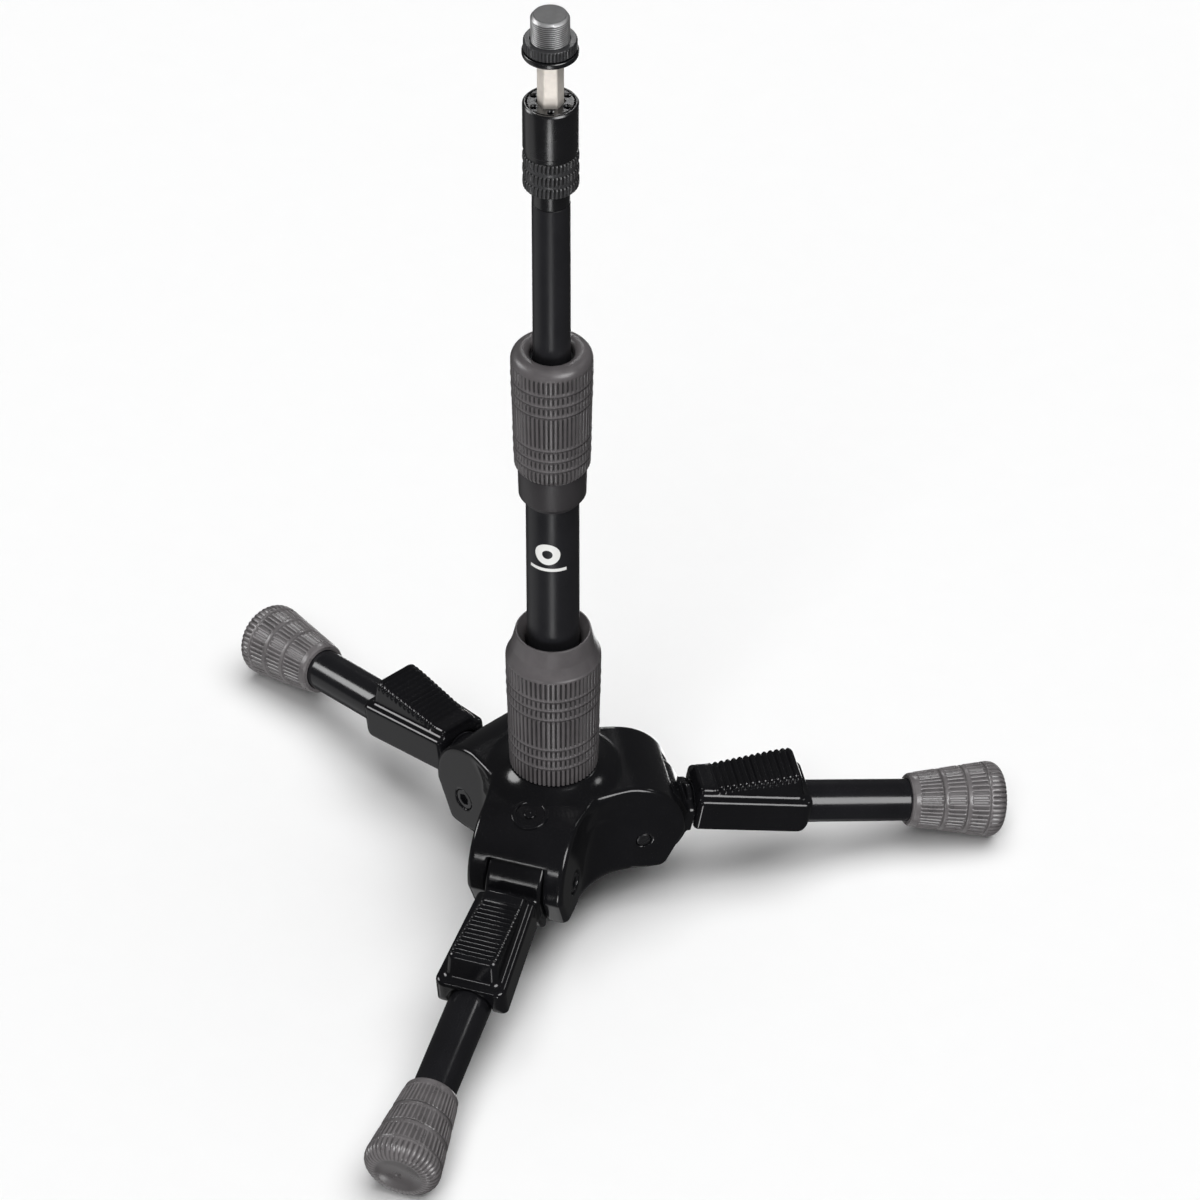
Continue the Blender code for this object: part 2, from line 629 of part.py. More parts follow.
def make_coupler():
    """Quick-release coupler: body with a hex bore, top plate, sleeve, spring and locking balls."""
    body = column_piece("coupler_body", [
        (0, 316.0), (6.4, 316.0), (6.4, 331.2), (7.9, 331.2), (7.9, 356.5), (11.0, 356.5),
        (11.0, 358.6), (COUPLER_RADIUS, 358.9), (COUPLER_RADIUS, PLATE_TOP - 0.5), (10.9, PLATE_TOP),
        (10.0, PLATE_TOP), (10.0, PLATE_FLOOR - GAP), (0, PLATE_FLOOR - GAP),
    ], BLACK_STEEL)
    bore = hexagon(HEX_BORE_FLATS, COLUMN_TURN)
    cut_in_column(body, prism("tool", bore, HEX_BORE_FLOOR, 378.0, BLACK_STEEL, axis="Z"))
    ball_turns = [COLUMN_TURN + 30 + 120 * index for index in range(3)]
    for turn in ball_turns:
        hole = turned_tool([(3.0, 0), (3.0, 1.8), (9.0, 1.8), (9.0, 0)], axis="X", segments=10)
        hole.data.transform(Matrix.Translation((0, 0, BALL_HEIGHT * MM)))
        turn_about_shaft(hole, turn)
        cut_in_column(body, hole)
    plate = column_piece("coupler_plate", [
        (0, PLATE_FLOOR), (9.7, PLATE_FLOOR), (9.7, PLATE_TOP), (0, PLATE_TOP),
    ], BLACK_STEEL)
    below, above = PLATE_FLOOR - 1.7, PLATE_TOP + 1.6
    cut_in_column(plate, prism("tool", bore, below, above, BLACK_STEEL, axis="Z"))
    for index in range(PLATE_HOLES):
        turn = math.radians(COLUMN_TURN + 360 / PLATE_HOLES * index - 90)
        outline = [(below, 0), (below, PLATE_HOLE_RADIUS), (above, PLATE_HOLE_RADIUS), (above, 0)]
        hole = turned_tool(outline, segments=10)
        place = Vector((PLATE_HOLE_REACH * math.cos(turn), PLATE_HOLE_REACH * math.sin(turn), 0))
        hole.data.transform(Matrix.Translation(place * MM))
        cut_in_column(plate, hole)

    sleeve = [(10.2, 339.4), (11.4, 341.4), (11.6, 344.0)]
    for low in (345.6, 351.6):
        sleeve += [(10.9, low - 0.8), (11.6, low), (11.6, low + 4.0)]
    column_piece("release_collar", sleeve + [
        (10.9, 356.2), (8.2, 356.2), (8.2, 351.8), (10.2, 351.8),
    ], BLACK_STEEL)
    column_piece("snap_ring", [(8.1, 340.2), (9.9, 340.2), (9.9, 341.2), (8.1, 341.2)], GREY_STEEL, 20)
    spring = coil("coupler_spring", 341.5, 351.5, 9.15, 0.45, 4, GREY_STEEL, sides=4, per_turn=12)
    spring.location.z = BASE_HEIGHT * MM
    for number, turn in enumerate(ball_turns, start=1):
        ball = bmesh.new()
        bmesh.ops.create_icosphere(ball, subdivisions=2, radius=BALL_RADIUS * MM)
        ball = add_object(f"locking_ball_{number}", ball, GREY_STEEL)
        turn = math.radians(turn)
        reach = Vector((BALL_REACH * math.cos(turn), BALL_REACH * math.sin(turn), 0))
        ball.location = (reach + Vector((0, 0, BASE_HEIGHT + BALL_HEIGHT))) * MM


def cut_in_column(piece, tool):
    """Cut a column piece with a tool made at column heights."""
    tool.location.z = BASE_HEIGHT * MM
    bpy.context.view_layer.update()
    cut(piece, tool)


def make_adapter():
    """Hex stem with its flange, the threaded stud and the lock ring."""
    stem = prism("hex_stem", hexagon(HEX_FLATS, COLUMN_TURN), 345.4, 405.4, NICKEL_STEEL, axis="Z")
    stem.location.z = BASE_HEIGHT * MM
    groove = [(4.0, 352.0), (7.0, 352.0), (7.0, 356.0), (4.0, 356.0)]
    cut_in_column(stem, turned_tool([(z, r) for r, z in groove]))
    cut_in_column(stem, turned_tool([(395.0, 0), (395.0, 3.8), (406.0, 3.8), (406.0, 0)], segments=16))
    column_piece("threaded_stud", [
        (0, 395.4), (3.5, 395.4), (3.5, 406.3), (STUD_RADIUS, 406.3), (STUD_RADIUS, 421.3),
        (STUD_RADIUS - 1.2, STUD_TOP), (0, STUD_TOP),
    ], GREY_STEEL)
    column_piece("stem_flange", [
        (5.8, 402.0), (7.2, 401.6), (11.3, 403.6), (11.5, 404.2), (11.5, 405.6), (11.2, 406.0),
        (5.8, 406.0),
    ], BLACK_STEEL)
    column_piece("lock_ring", [
        (STUD_RADIUS + GAP, 406.4), (10.9, 406.4), (10.9, 410.6), (10.5, 411.0), (STUD_RADIUS + GAP, 411.0),
    ], BLACK_STEEL)


def clear_scene():
    for item in list(bpy.data.objects):
        bpy.data.objects.remove(item)


clear_scene()
make_hub()
make_legs()
make_base()
make_clutch()
make_slider()
make_coupler()
make_adapter()
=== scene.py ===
"""Looks of a desktop microphone stand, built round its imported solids.

Shapes are written in millimetres and scaled by MM where a mesh is made. Heights are from the
crossing point of the leg axes on the shaft axis. A leg's own axes start at its pivot: X runs
outward along the leg, Y across it and Z up. Casings, knuckles and triggers are the zero surfaces
of distance fields, which round every edge as a casting does. The rest is turned.
"""

import json
import math

import bpy
import numpy as np
from mathutils import Matrix, Vector


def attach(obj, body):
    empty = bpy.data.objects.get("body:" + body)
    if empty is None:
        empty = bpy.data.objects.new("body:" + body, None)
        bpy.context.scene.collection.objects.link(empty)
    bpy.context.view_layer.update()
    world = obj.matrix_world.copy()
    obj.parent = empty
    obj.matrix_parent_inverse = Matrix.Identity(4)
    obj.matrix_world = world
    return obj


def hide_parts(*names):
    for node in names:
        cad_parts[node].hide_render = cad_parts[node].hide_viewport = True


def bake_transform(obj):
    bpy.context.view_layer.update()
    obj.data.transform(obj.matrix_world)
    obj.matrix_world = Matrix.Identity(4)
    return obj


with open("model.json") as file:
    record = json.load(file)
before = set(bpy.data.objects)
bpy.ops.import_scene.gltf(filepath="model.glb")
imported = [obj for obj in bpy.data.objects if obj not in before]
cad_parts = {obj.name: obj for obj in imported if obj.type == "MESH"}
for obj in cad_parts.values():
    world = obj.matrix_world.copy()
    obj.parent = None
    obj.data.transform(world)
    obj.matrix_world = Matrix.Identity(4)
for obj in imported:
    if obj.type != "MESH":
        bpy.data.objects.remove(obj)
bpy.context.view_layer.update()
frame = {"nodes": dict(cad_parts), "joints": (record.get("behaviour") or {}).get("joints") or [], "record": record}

MM = 0.001
TAU = math.tau

# Driving sizes, the same as the solids'.
LEG_AZIMUTHS = {"front": 270.0, "right": 30.0, "left": 150.0}
LEG_TILT = math.radians(9.56)
PIVOT_REACH = 36.0
PIVOT_DROP = 9.05
BOLT_BORE_RADIUS = 3.5
TUBE_RADIUS = 9.525
TUBE_START = 61.8
FOOT_START = 163.3
FOOT_SHOULDER = 200.6
FOOT_END = 207.0
LOBE_HALF_WIDTH = 22.0
LOBE_TOP = 21.9
LOBE_RADIUS = 26.5
LOBE_CENTRE = (28.5, -4.6)
HUB_BOTTOM = -27.0
WEB_REACH = 27.4
WEB_FLARE = 5.6
HEEL_TOP = (54.78, -8.0)
HEEL_FOOT = (45.84, -27.0)
SEAT_TOP = 27.4
SEAT_RADII = (27.5, 25.2, 19.4)
SPIGOT_RADIUS = 14.5
SPIGOT_TOP = 60.0
SLOT_HALF_WIDTH = 13.0
SLOT_RADIUS = 22.9
SLOT_REACH = 19.5
HEAD_RECESS_RADIUS = 5.2
HEAD_RECESS_DEPTH = 3.5
COLUMN_BORE_FLOOR = -19.0
SCREW_BORE_RADIUS = 3.3
SCREW_HEAD_RADIUS = 6.6
SCREW_HEAD_TOP = -22.5
SCREW_BORE_TOP = -17.0
BARREL_RADIUS = 22.4
KNUCKLE_HALF_WIDTH = 12.6
RATCHET_BARREL_RADIUS = 12.0
RATCHET_SLOT_RADIUS = 15.5
NECK_START = 8.0
NECK_END = 24.4
PLUG_RADIUS = 8.0
PLUG_START = 22.0
PLUG_END = 50.0
PAWL_WAY_HALF_WIDTH = 2.8
TRIGGER_START = 62.1
TRIGGER_END = 115.0
PIN_PLACE = (33.0, 3.4)
OUTER_TUBE_RADIUS = 11.4
TUBE_GAP = 0.3
INNER_TUBE_RADIUS = 7.94
HEX_FLATS = 9.525
STUD_RADIUS = 7.9375
STUD_TOP = 422.5
THREAD_PITCH = 25.4 / 27
COLUMN_TURN = 19.0

joint_places = {joint["name"]: joint.get("pos_m") for joint in frame["joints"]}
BASE_HEIGHT = joint_places["front_leg_fold"][2] / MM + PIVOT_DROP


# ---------------------------------------------------------------- distance fields


def meet(first, second, radius):
    """What two fields share, with the edge between them rounded off."""
    outside = np.hypot(np.maximum(first + radius, 0), np.maximum(second + radius, 0))
    return np.minimum(np.maximum(first, second), -radius) + outside


def join(first, second, radius):
    """Both fields together, with a fillet between them."""
    return -meet(-first, -second, radius)


def carve(field, tool, radius):
    """A field with a tool cut away, the cut's edges rounded off."""
    return meet(field, -tool, radius)


def hexagon(x, y, flats, turn=0.0):
    """A hexagonal prism of a width across its flats, turned by degrees."""
    turns = [math.radians(turn + 60 * k) for k in range(3)]
    apart = [np.abs(x * math.cos(t) + y * math.sin(t)) for t in turns]
    return np.max(apart, axis=0) - flats / 2


def surface_net(field, low, high, cell):
    """Vertices and quads of a field's zero surface on a grid, pulled onto the surface."""
    cell = np.broadcast_to(np.asarray(cell, float), 3)
    axes = [np.arange(low[k], high[k] + cell[k], cell[k]) for k in range(3)]
    value = field(*np.meshgrid(*axes, indexing="ij"))
    shape = np.array(value.shape) - 1
    total = np.zeros((*shape, 3))
    count = np.zeros(shape)
    crossings = []
    for k in range(3):
        start = [slice(None)] * 3
        end = [slice(None)] * 3
        start[k] = slice(None, -1)
        end[k] = slice(1, None)
        first, second = value[tuple(start)], value[tuple(end)]
        edge = np.argwhere((first < 0) != (second < 0))
        inner = [j for j in range(3) if j != k]
        for j in inner:
            edge = edge[(edge[:, j] > 0) & (edge[:, j] < shape[j])]
        a = first[tuple(edge.T)]
        b = second[tuple(edge.T)]
        place = edge.astype(float)
        place[:, k] += a / (a - b)
        around = []
        for one, two in ((-1, -1), (0, -1), (0, 0), (-1, 0)):
            cell_index = edge.copy()
            cell_index[:, inner[0]] += one
            cell_index[:, inner[1]] += two
            np.add.at(total, tuple(cell_index.T), place)
            np.add.at(count, tuple(cell_index.T), 1)
            around.append(cell_index)
        crossings.append((k, a < 0, around))
    used = count > 0
    number = np.full(shape, -1)
    number[used] = np.arange(used.sum())
    points = total[used] / count[used][:, None] * cell + np.array(low)
    quads = []
    for k, leaving, around in crossings:
        corners = np.stack([number[tuple(index.T)] for index in around], axis=1)
        forward = leaving if k != 1 else ~leaving
        corners[~forward] = corners[~forward][:, ::-1]
        quads.append(corners)
    step = cell.min() * 0.05
    for _ in range(3):
        here = field(*points.T)
        slope = np.stack([
            (field(*(points + offset).T) - field(*(points - offset).T)) / (2 * step)
            for offset in np.eye(3) * step
        ], axis=1)
        size = np.maximum((slope ** 2).sum(axis=1), 0.05)
        move = slope * (here / size)[:, None]
        points -= np.clip(move, -0.5 * cell, 0.5 * cell)
    return points, np.concatenate(quads)


def mesh_from(name, points, faces, sharp=60):
    """A smooth mesh in metres from points in millimetres."""
    mesh = bpy.data.meshes.new(name)
    mesh.from_pydata((np.asarray(points) * MM).tolist(), [], [list(face) for face in faces])
    mesh.validate()
    mesh.shade_smooth()
    mesh.set_sharp_from_angle(angle=math.radians(sharp))
    return mesh


def field_mesh(name, field, low, high, cell):
    points, quads = surface_net(field, low, high, cell)
    return mesh_from(name, points, quads)


# ---------------------------------------------------------------- turned shapes


def section(inner, outer, low, high):
    """Outline of a plain ring between two radii and two places along the axis."""
    return [(inner, low), (outer, low), (outer, high), (inner, high)]


def arc(centre, radius, start, end, steps=12):
    """Points on an arc in a plane, from one angle to another in degrees."""
    turns = np.radians(np.linspace(start, end, steps + 1))
    return [(centre[0] + radius * math.cos(t), centre[1] + radius * math.sin(t)) for t in turns]


def subdivide(outline, step):
    """The same outline with points at most a step apart."""
    fine = []
    for (r0, z0), (r1, z1) in zip(outline, outline[1:]):
        parts = max(1, math.ceil(math.hypot(r1 - r0, z1 - z0) / step))
        fine += [(r0 + (r1 - r0) * i / parts, z0 + (z1 - z0) * i / parts) for i in range(parts)]
    return fine + [outline[-1]]


def soften(outline, radius, steps=4, closed=True):
    """The outline with its corners rounded by arcs of about one radius."""
    points = [Vector(point) for point in outline]
    rounded = []
    for index, corner in enumerate(points):
        if not closed and index in (0, len(points) - 1):
            rounded.append(tuple(corner))
            continue
        before = points[index - 1] - corner
        after = points[(index + 1) % len(points)] - corner
        turn = before.angle(after)
        if turn > math.radians(165):
            rounded.append(tuple(corner))
            continue
        reach = min(radius / math.tan(turn / 2), before.length * 0.45, after.length * 0.45)
        start = corner + before.normalized() * reach
        end = corner + after.normalized() * reach
        for step in range(steps + 1):
            t = step / steps
            rounded.append(tuple(start * (1 - t) ** 2 + corner * 2 * t * (1 - t) + end * t ** 2))
    return rounded


def turned(name, outline, columns, relief=None, axis="Z", sharp=60):
    """A ring turned from a closed (radius, along) outline. Relief is added to its outer radius."""
    ring = np.array(outline)
    angle = np.linspace(0, TAU, columns, endpoint=False)[None, :]
    radius = np.repeat(ring[:, :1], columns, axis=1)
    along = np.repeat(ring[:, 1:], columns, axis=1)
    change = relief(angle, along, radius) if relief else np.zeros_like(radius)
    radius = radius + change
    radius = np.maximum(radius, 0)
    x, y = radius * np.cos(angle), radius * np.sin(angle)
    points = np.stack([x, y, along] if axis == "Z" else [along, x, y], axis=-1)
    rows = len(outline)
    row, column = np.meshgrid(np.arange(rows), np.arange(columns), indexing="ij")
    next_row, next_column = (row + 1) % rows, (column + 1) % columns
    corners = np.stack([
        row * columns + column, row * columns + next_column,
        next_row * columns + next_column, next_row * columns + column,
    ], axis=-1)
    mesh = mesh_from(name, points.reshape(-1, 3), corners.reshape(-1, 4), sharp)
    if relief:
        # Keep the relief on the mesh so the finishes paint shade into its cuts and a highlight onto its rises.
        painted_shading = mesh.attributes.new("painted_shading", "FLOAT", "POINT")
        painted_shading.data.foreach_set("value", change.astype(np.float32).ravel())
    return mesh


def smoothstep(low, high, value):
    t = np.clip((value - low) / (high - low), 0, 1)
    return t * t * (3 - 2 * t)


GROOVE_START = 0.45


def flutes(count, bands, depth, inner_radius, floor=0.85, end_length=1.0):
    """Lengthwise grooves between round ribs, in bands between two heights, with rounded ends."""
    def relief(angle, along, radius):
        from_rib = 1 - 2 * np.abs((count * angle / TAU + 0.5) % 1.0 - 0.5)
        groove = smoothstep(GROOVE_START, floor, from_rib)
        weight = np.zeros_like(radius)
        for low, high in bands:
            room = np.minimum(along - low, high - along) / end_length
            weight = np.maximum(weight, np.clip(np.minimum(groove, room), 0, 1))
        return np.where(radius > inner_radius, -depth * weight, 0.0)
    return relief


def beads(rings, height, half_width, inner_radius):
    """Thin raised rings with a narrow groove under each."""
    def relief(angle, along, radius):
        rise = np.zeros_like(radius)
        for place in rings:
            rise += height * np.exp(-((along - place) / half_width) ** 4)
            rise -= 2.2 * height * np.exp(-((along - place + 2.2 * half_width) / half_width) ** 4)
        return np.where(radius > inner_radius, rise, 0.0)
    return relief


def together(*reliefs):
    def relief(angle, along, radius):
        return sum(one(angle, along, radius) for one in reliefs)
    return relief


# ---------------------------------------------------------------- materials


def add_node(tree, kind, **inputs):
    node = tree.nodes.new(kind)
    for key, value in inputs.items():
        node.inputs[key.replace("_", " ")].default_value = value
    return node


def noise_at(tree, coordinates, scale, detail=3.0, roughness=0.55):
    """Noise with features of a size set by scale, in repeats a metre on each axis."""
    stretch = tree.nodes.new("ShaderNodeMapping")
    stretch.inputs["Scale"].default_value = scale
    noise = add_node(tree, "ShaderNodeTexNoise", Scale=1.0, Detail=detail, Roughness=roughness)
    tree.links.new(coordinates, stretch.inputs["Vector"])
    tree.links.new(stretch.outputs["Vector"], noise.inputs["Vector"])
    return noise.outputs["Fac"]


def map_range(tree, value, low, high, start=0.3, end=0.7):
    node = tree.nodes.new("ShaderNodeMapRange")
    node.inputs["From Min"].default_value = start
    node.inputs["From Max"].default_value = end
    node.inputs["To Min"].default_value = low
    node.inputs["To Max"].default_value = high
    tree.links.new(value, node.inputs["Value"])
    return node.outputs["Result"]


SPECK_GRAIN = (2600, 2600, 2600)
SPECK_COLOUR = (0.35, 0.34, 0.33, 1)
# Relief values over which the painted shading runs from darkest to lightest, and the value that paints the stud's
# top dark.
PAINTED_SHADING_LOW = -0.6
PAINTED_SHADING_HIGH = 0.3
PAINTED_TOP_SHADE = -0.5


def finish_material(name, colour, roughness, metallic=0.0, specular=0.5, coat=0.0,
                    mottle=0.12, grain=(900, 900, 900), bump=0.05, bump_depth=0.0001,
                    rough_swing=0.05, cloud=60, dust=0.0, painted_shading=0.0):
    """A procedural finish: mottled colour, uneven roughness and a fine grain.

    Painted shading lightens what a relief raises and darkens what it cuts: a painted highlight on ribs and beads,
    painted shade in grooves.
    """
    made = bpy.data.materials.new(name)
    made.use_nodes = True
    tree = made.node_tree
    shader = tree.nodes["Principled BSDF"]
    shader.inputs["Metallic"].default_value = metallic
    shader.inputs["Specular IOR Level"].default_value = specular
    shader.inputs["Coat Weight"].default_value = coat
    shader.inputs["Coat Roughness"].default_value = 0.06
    coordinates = tree.nodes.new("ShaderNodeTexCoord").outputs["Object"]

    clouds = noise_at(tree, coordinates, (cloud, cloud, cloud), detail=4.0)
    ramp = tree.nodes.new("ShaderNodeValToRGB")
    ramp.color_ramp.elements[0].position = 0.32
    ramp.color_ramp.elements[1].position = 0.68
    ramp.color_ramp.elements[0].color = (*[c * (1 - mottle) for c in colour], 1)
    ramp.color_ramp.elements[1].color = (*[c * (1 + mottle) for c in colour], 1)
    tree.links.new(clouds, ramp.inputs["Fac"])
    base = ramp.outputs["Color"]
    if dust:
        specks = noise_at(tree, coordinates, SPECK_GRAIN, detail=1.0)
        mask = map_range(tree, specks, 0.0, dust, 0.68, 0.78)
        mix = tree.nodes.new("ShaderNodeMix")
        mix.data_type = "RGBA"
        mix.inputs["B"].default_value = SPECK_COLOUR
        tree.links.new(mask, mix.inputs["Factor"])
        tree.links.new(base, mix.inputs["A"])
        base = mix.outputs["Result"]
    # Painted shade in the relief's cuts and a painted highlight on its rises, from the stored relief.
    if painted_shading:
        relief = tree.nodes.new("ShaderNodeAttribute")
        relief.attribute_name = "painted_shading"
        shade = map_range(
            tree, relief.outputs["Fac"], 1 - painted_shading, 1 + painted_shading / 2, PAINTED_SHADING_LOW, PAINTED_SHADING_HIGH)
        mix = tree.nodes.new("ShaderNodeMix")
        mix.data_type = "RGBA"
        mix.blend_type = "MULTIPLY"
        mix.inputs["Factor"].default_value = 1.0
        tree.links.new(base, mix.inputs["A"])
        tree.links.new(shade, mix.inputs["B"])
        base = mix.outputs["Result"]
    tree.links.new(base, shader.inputs["Base Color"])

    fine = noise_at(tree, coordinates, grain, detail=3.0)
    swing = map_range(tree, clouds, roughness - rough_swing, roughness + rough_swing)
    tree.links.new(swing, shader.inputs["Roughness"])
    relief = add_node(tree, "ShaderNodeBump", Strength=bump, Distance=bump_depth)
    tree.links.new(fine, relief.inputs["Height"])
    tree.links.new(relief.outputs["Normal"], shader.inputs["Normal"])
    return made


# Finishes given a shading strength paint shade into grooves and a highlight onto raised rings.
FINISHES = {
    "hub_enamel": finish_material(
        "hub_enamel", (0.0055, 0.0055, 0.0065), 0.15, specular=0.5, mottle=0.1,
        grain=(300, 300, 300), bump=0.14, bump_depth=0.0002, rough_swing=0.03, dust=0.05),
    "tube_finish": finish_material(
        "tube_finish", (0.013, 0.013, 0.015), 0.36, specular=0.4, mottle=0.1,
        grain=(2200, 2200, 300), bump=0.06, rough_swing=0.04, dust=0.04),
    "grip_rubber": finish_material(
        "grip_rubber", (0.098, 0.091, 0.094), 0.34, specular=0.6, mottle=0.12,
        grain=(2600, 2600, 2600), bump=0.22, rough_swing=0.06, cloud=120, dust=0.05, painted_shading=0.85),
    "foot_rubber": finish_material(
        "foot_rubber", (0.15, 0.14, 0.143), 0.3, specular=0.8, mottle=0.14,
        grain=(2600, 2600, 2600), bump=0.2, rough_swing=0.06, cloud=120, dust=0.05, painted_shading=0.6),
    "trigger_plastic": finish_material(
        "trigger_plastic", (0.0055, 0.0055, 0.0065), 0.13, specular=0.5, mottle=0.08,
        grain=(500, 500, 500), bump=0.09, rough_swing=0.03, dust=0.04),
    "ferrule_black": finish_material(
        "ferrule_black", (0.032, 0.03, 0.032), 0.42, specular=0.5, mottle=0.1,
        grain=(2400, 2400, 2400), bump=0.15, rough_swing=0.05),
    "coupler_black": finish_material(
        "coupler_black", (0.006, 0.006, 0.007), 0.26, specular=0.8, mottle=0.1,
        grain=(1500, 1500, 1500), bump=0.06, rough_swing=0.04, dust=0.03),
    "nickel_hex": finish_material(
        "nickel_hex", (0.88, 0.82, 0.75), 0.42, metallic=0.3, mottle=0.08,
        grain=(4000, 4000, 120), bump=0.15, rough_swing=0.06, cloud=200),
    "stud_steel": finish_material(
        "stud_steel", (0.55, 0.55, 0.555), 0.42, metallic=0.8, mottle=0.1,
        grain=(3000, 3000, 3000), bump=0.05, rough_swing=0.05, cloud=300, painted_shading=0.85),
    "plain_steel": finish_material(
        "plain_steel", (0.5, 0.5, 0.51), 0.3, metallic=1.0, mottle=0.08,
        grain=(2500, 2500, 400), bump=0.1, rough_swing=0.05, cloud=150),
    "nylon_black": finish_material(
        "nylon_black", (0.02, 0.02, 0.021), 0.45, mottle=0.05,
        grain=(1800, 1800, 1800), bump=0.08, rough_swing=0.05),
}

# Finishes of single pieces whose slot has another one.
# The knurl finish paints shade into its grooves and a highlight onto its ridges.
KNURL_BLACK = finish_material(
    "knurl_black", (0.04, 0.04, 0.042), 0.3, mottle=0.1, grain=(1500, 1500, 1500), bump=0.04,
    rough_swing=0.04, painted_shading=0.95)
TUBE_GLOSS = finish_material(
    "tube_gloss", (0.009, 0.009, 0.0105), 0.17, mottle=0.1, grain=(2200, 2200, 300), bump=0.05,
    rough_swing=0.03, dust=0.04)
PRINT = finish_material("white_print", (0.8, 0.8, 0.78), 0.5, mottle=0.04, bump=0.05)


# ---------------------------------------------------------------- placing pieces

NODE_BODY = {
    node: body
    for body, nodes in frame["record"]["behaviour"]["bodies"].items()
    for node in nodes
}
NODE_SLOT = {part["node"]: part["material_slot"] for part in frame["record"]["subparts"]}
COLUMN_PLACE = Matrix.Translation((0, 0, BASE_HEIGHT * MM))


def leg_matrix(side, tilt=LEG_TILT):
    """From a leg's own axes to the world."""
    place = Matrix.Translation(joint_places[f"{side}_leg_fold"])
    turn = Matrix.Rotation(math.radians(LEG_AZIMUTHS[side]), 4, "Z")
    return place @ turn @ Matrix.Rotation(tilt, 4, "Y")


def put(name, mesh, place, node, slot=None, replaces=True, stretch=None):
    """Add a piece that rides with a CAD node's body and stands for the node.

    A stretch names two bodies and a spring's two end places; its contents are not used, and a piece given one is
    not attached to a body but has its place baked into its mesh.
    """
    slot = slot or NODE_SLOT[node]
    own = mesh.copy()
    own.transform(place)
    if not own.materials:
        own.materials.append(FINISHES[slot])
    piece = bpy.data.objects.new(name, own)
    bpy.context.scene.collection.objects.link(piece)
    if not stretch:
        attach(piece, NODE_BODY[node])
    if replaces:
        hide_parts(node)
    if stretch:
        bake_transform(piece)
    return piece


def dress_frame():
    """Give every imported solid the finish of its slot."""
    for node, part in frame["nodes"].items():
        part.data.materials.clear()
        part.data.materials.append(FINISHES[NODE_SLOT[node]])


# ---------------------------------------------------------------- hub


def lobe_axes(x, y):
    """Distances along and across the nearest lobe."""
    best = np.full(np.shape(x), -1e9)
    across = np.zeros(np.shape(x))
    for azimuth in LEG_AZIMUTHS.values():
        turn = math.radians(azimuth)
        along_this = x * math.cos(turn) + y * math.sin(turn)
        across_this = -x * math.sin(turn) + y * math.cos(turn)
        nearer = along_this > best
        best = np.where(nearer, along_this, best)
        across = np.where(nearer, across_this, across)
    return best, across


def hub_field(x, y, z):
    """Three lobes of round profile with webs between them, slots and bores."""
    along, across = lobe_axes(x, y)
    wide = np.abs(across)
    drop = np.clip((LOBE_TOP - z) / (LOBE_TOP - HUB_BOTTOM), 0, 1)

    past = np.maximum(along - LOBE_CENTRE[0], 0)
    crown = np.hypot(past, z - LOBE_CENTRE[1]) - LOBE_RADIUS
    run, fall = HEEL_FOOT[0] - HEEL_TOP[0], HEEL_FOOT[1] - HEEL_TOP[1]
    heel = (run * (z - HEEL_TOP[1]) - fall * (along - HEEL_TOP[0])) / math.hypot(run, fall)
    crown = np.where((z < HEEL_TOP[1]) & (past > 0), heel, crown)
    side = meet(crown, HUB_BOTTOM - z, 3.5)

    lobes = wide - LOBE_HALF_WIDTH
    web = 0.5 * along + 0.866 * wide - (WEB_REACH + WEB_FLARE * drop ** 2.2)
    plan = join(lobes, web, np.interp(z, (-5.0, 12.0, LOBE_TOP), (2.0, 4.0, 9.0)))
    on_web = smoothstep(-6.0, 6.0, lobes - web)
    top_edge = 2.2 + 3.3 * on_web
    body = meet(plan, side, np.interp(z, (HUB_BOTTOM + 4, 4.0), (1.6, 1.0)) * top_edge)

    radius = np.hypot(x, y)
    seat_radius = np.interp(z, (LOBE_TOP - 3, LOBE_TOP, SEAT_TOP), SEAT_RADII)
    seat = meet(radius - seat_radius, z - SEAT_TOP, 0.6)
    body = join(body, np.maximum(seat, 10 - z), 5.0)
    spigot = meet(radius - SPIGOT_RADIUS, z - SPIGOT_TOP, 0.6)
    body = np.minimum(body, np.maximum(spigot, -z))

    slot_round = np.hypot(along - PIVOT_REACH, np.maximum(z + PIVOT_DROP, 0)) - SLOT_RADIUS
    slot = meet(meet(slot_round, SLOT_REACH - along, 1.0), wide - SLOT_HALF_WIDTH, 0.4)
    body = carve(body, slot, 1.1)

    pivot = np.hypot(along - PIVOT_REACH, z + PIVOT_DROP)
    body = carve(body, pivot - BOLT_BORE_RADIUS, 0.35)
    recess_floor = LOBE_HALF_WIDTH - HEAD_RECESS_DEPTH
    body = carve(body, np.maximum(pivot - HEAD_RECESS_RADIUS, recess_floor - across), 0.4)

    column_bore = radius - (OUTER_TUBE_RADIUS + TUBE_GAP)
    body = carve(body, np.maximum(column_bore, COLUMN_BORE_FLOOR - z), 0.3)
    head_way = np.maximum(radius - SCREW_HEAD_RADIUS, z - SCREW_HEAD_TOP)
    screw_way = np.minimum(radius - SCREW_BORE_RADIUS, head_way)
    return carve(body, np.maximum(screw_way, z - SCREW_BORE_TOP), 0.4)


HUB_CELL = 0.88


def make_hub():
    limit = LOBE_CENTRE[0] + LOBE_RADIUS + 3
    low, high = (-limit, -limit, HUB_BOTTOM - 1.5), (limit, limit, SPIGOT_TOP + 2)
    mesh = field_mesh("hub_casting", hub_field, low, high, HUB_CELL)
    put("hub_casting", mesh, COLUMN_PLACE, "hub")


ROUNDEL_REACH = 32.0


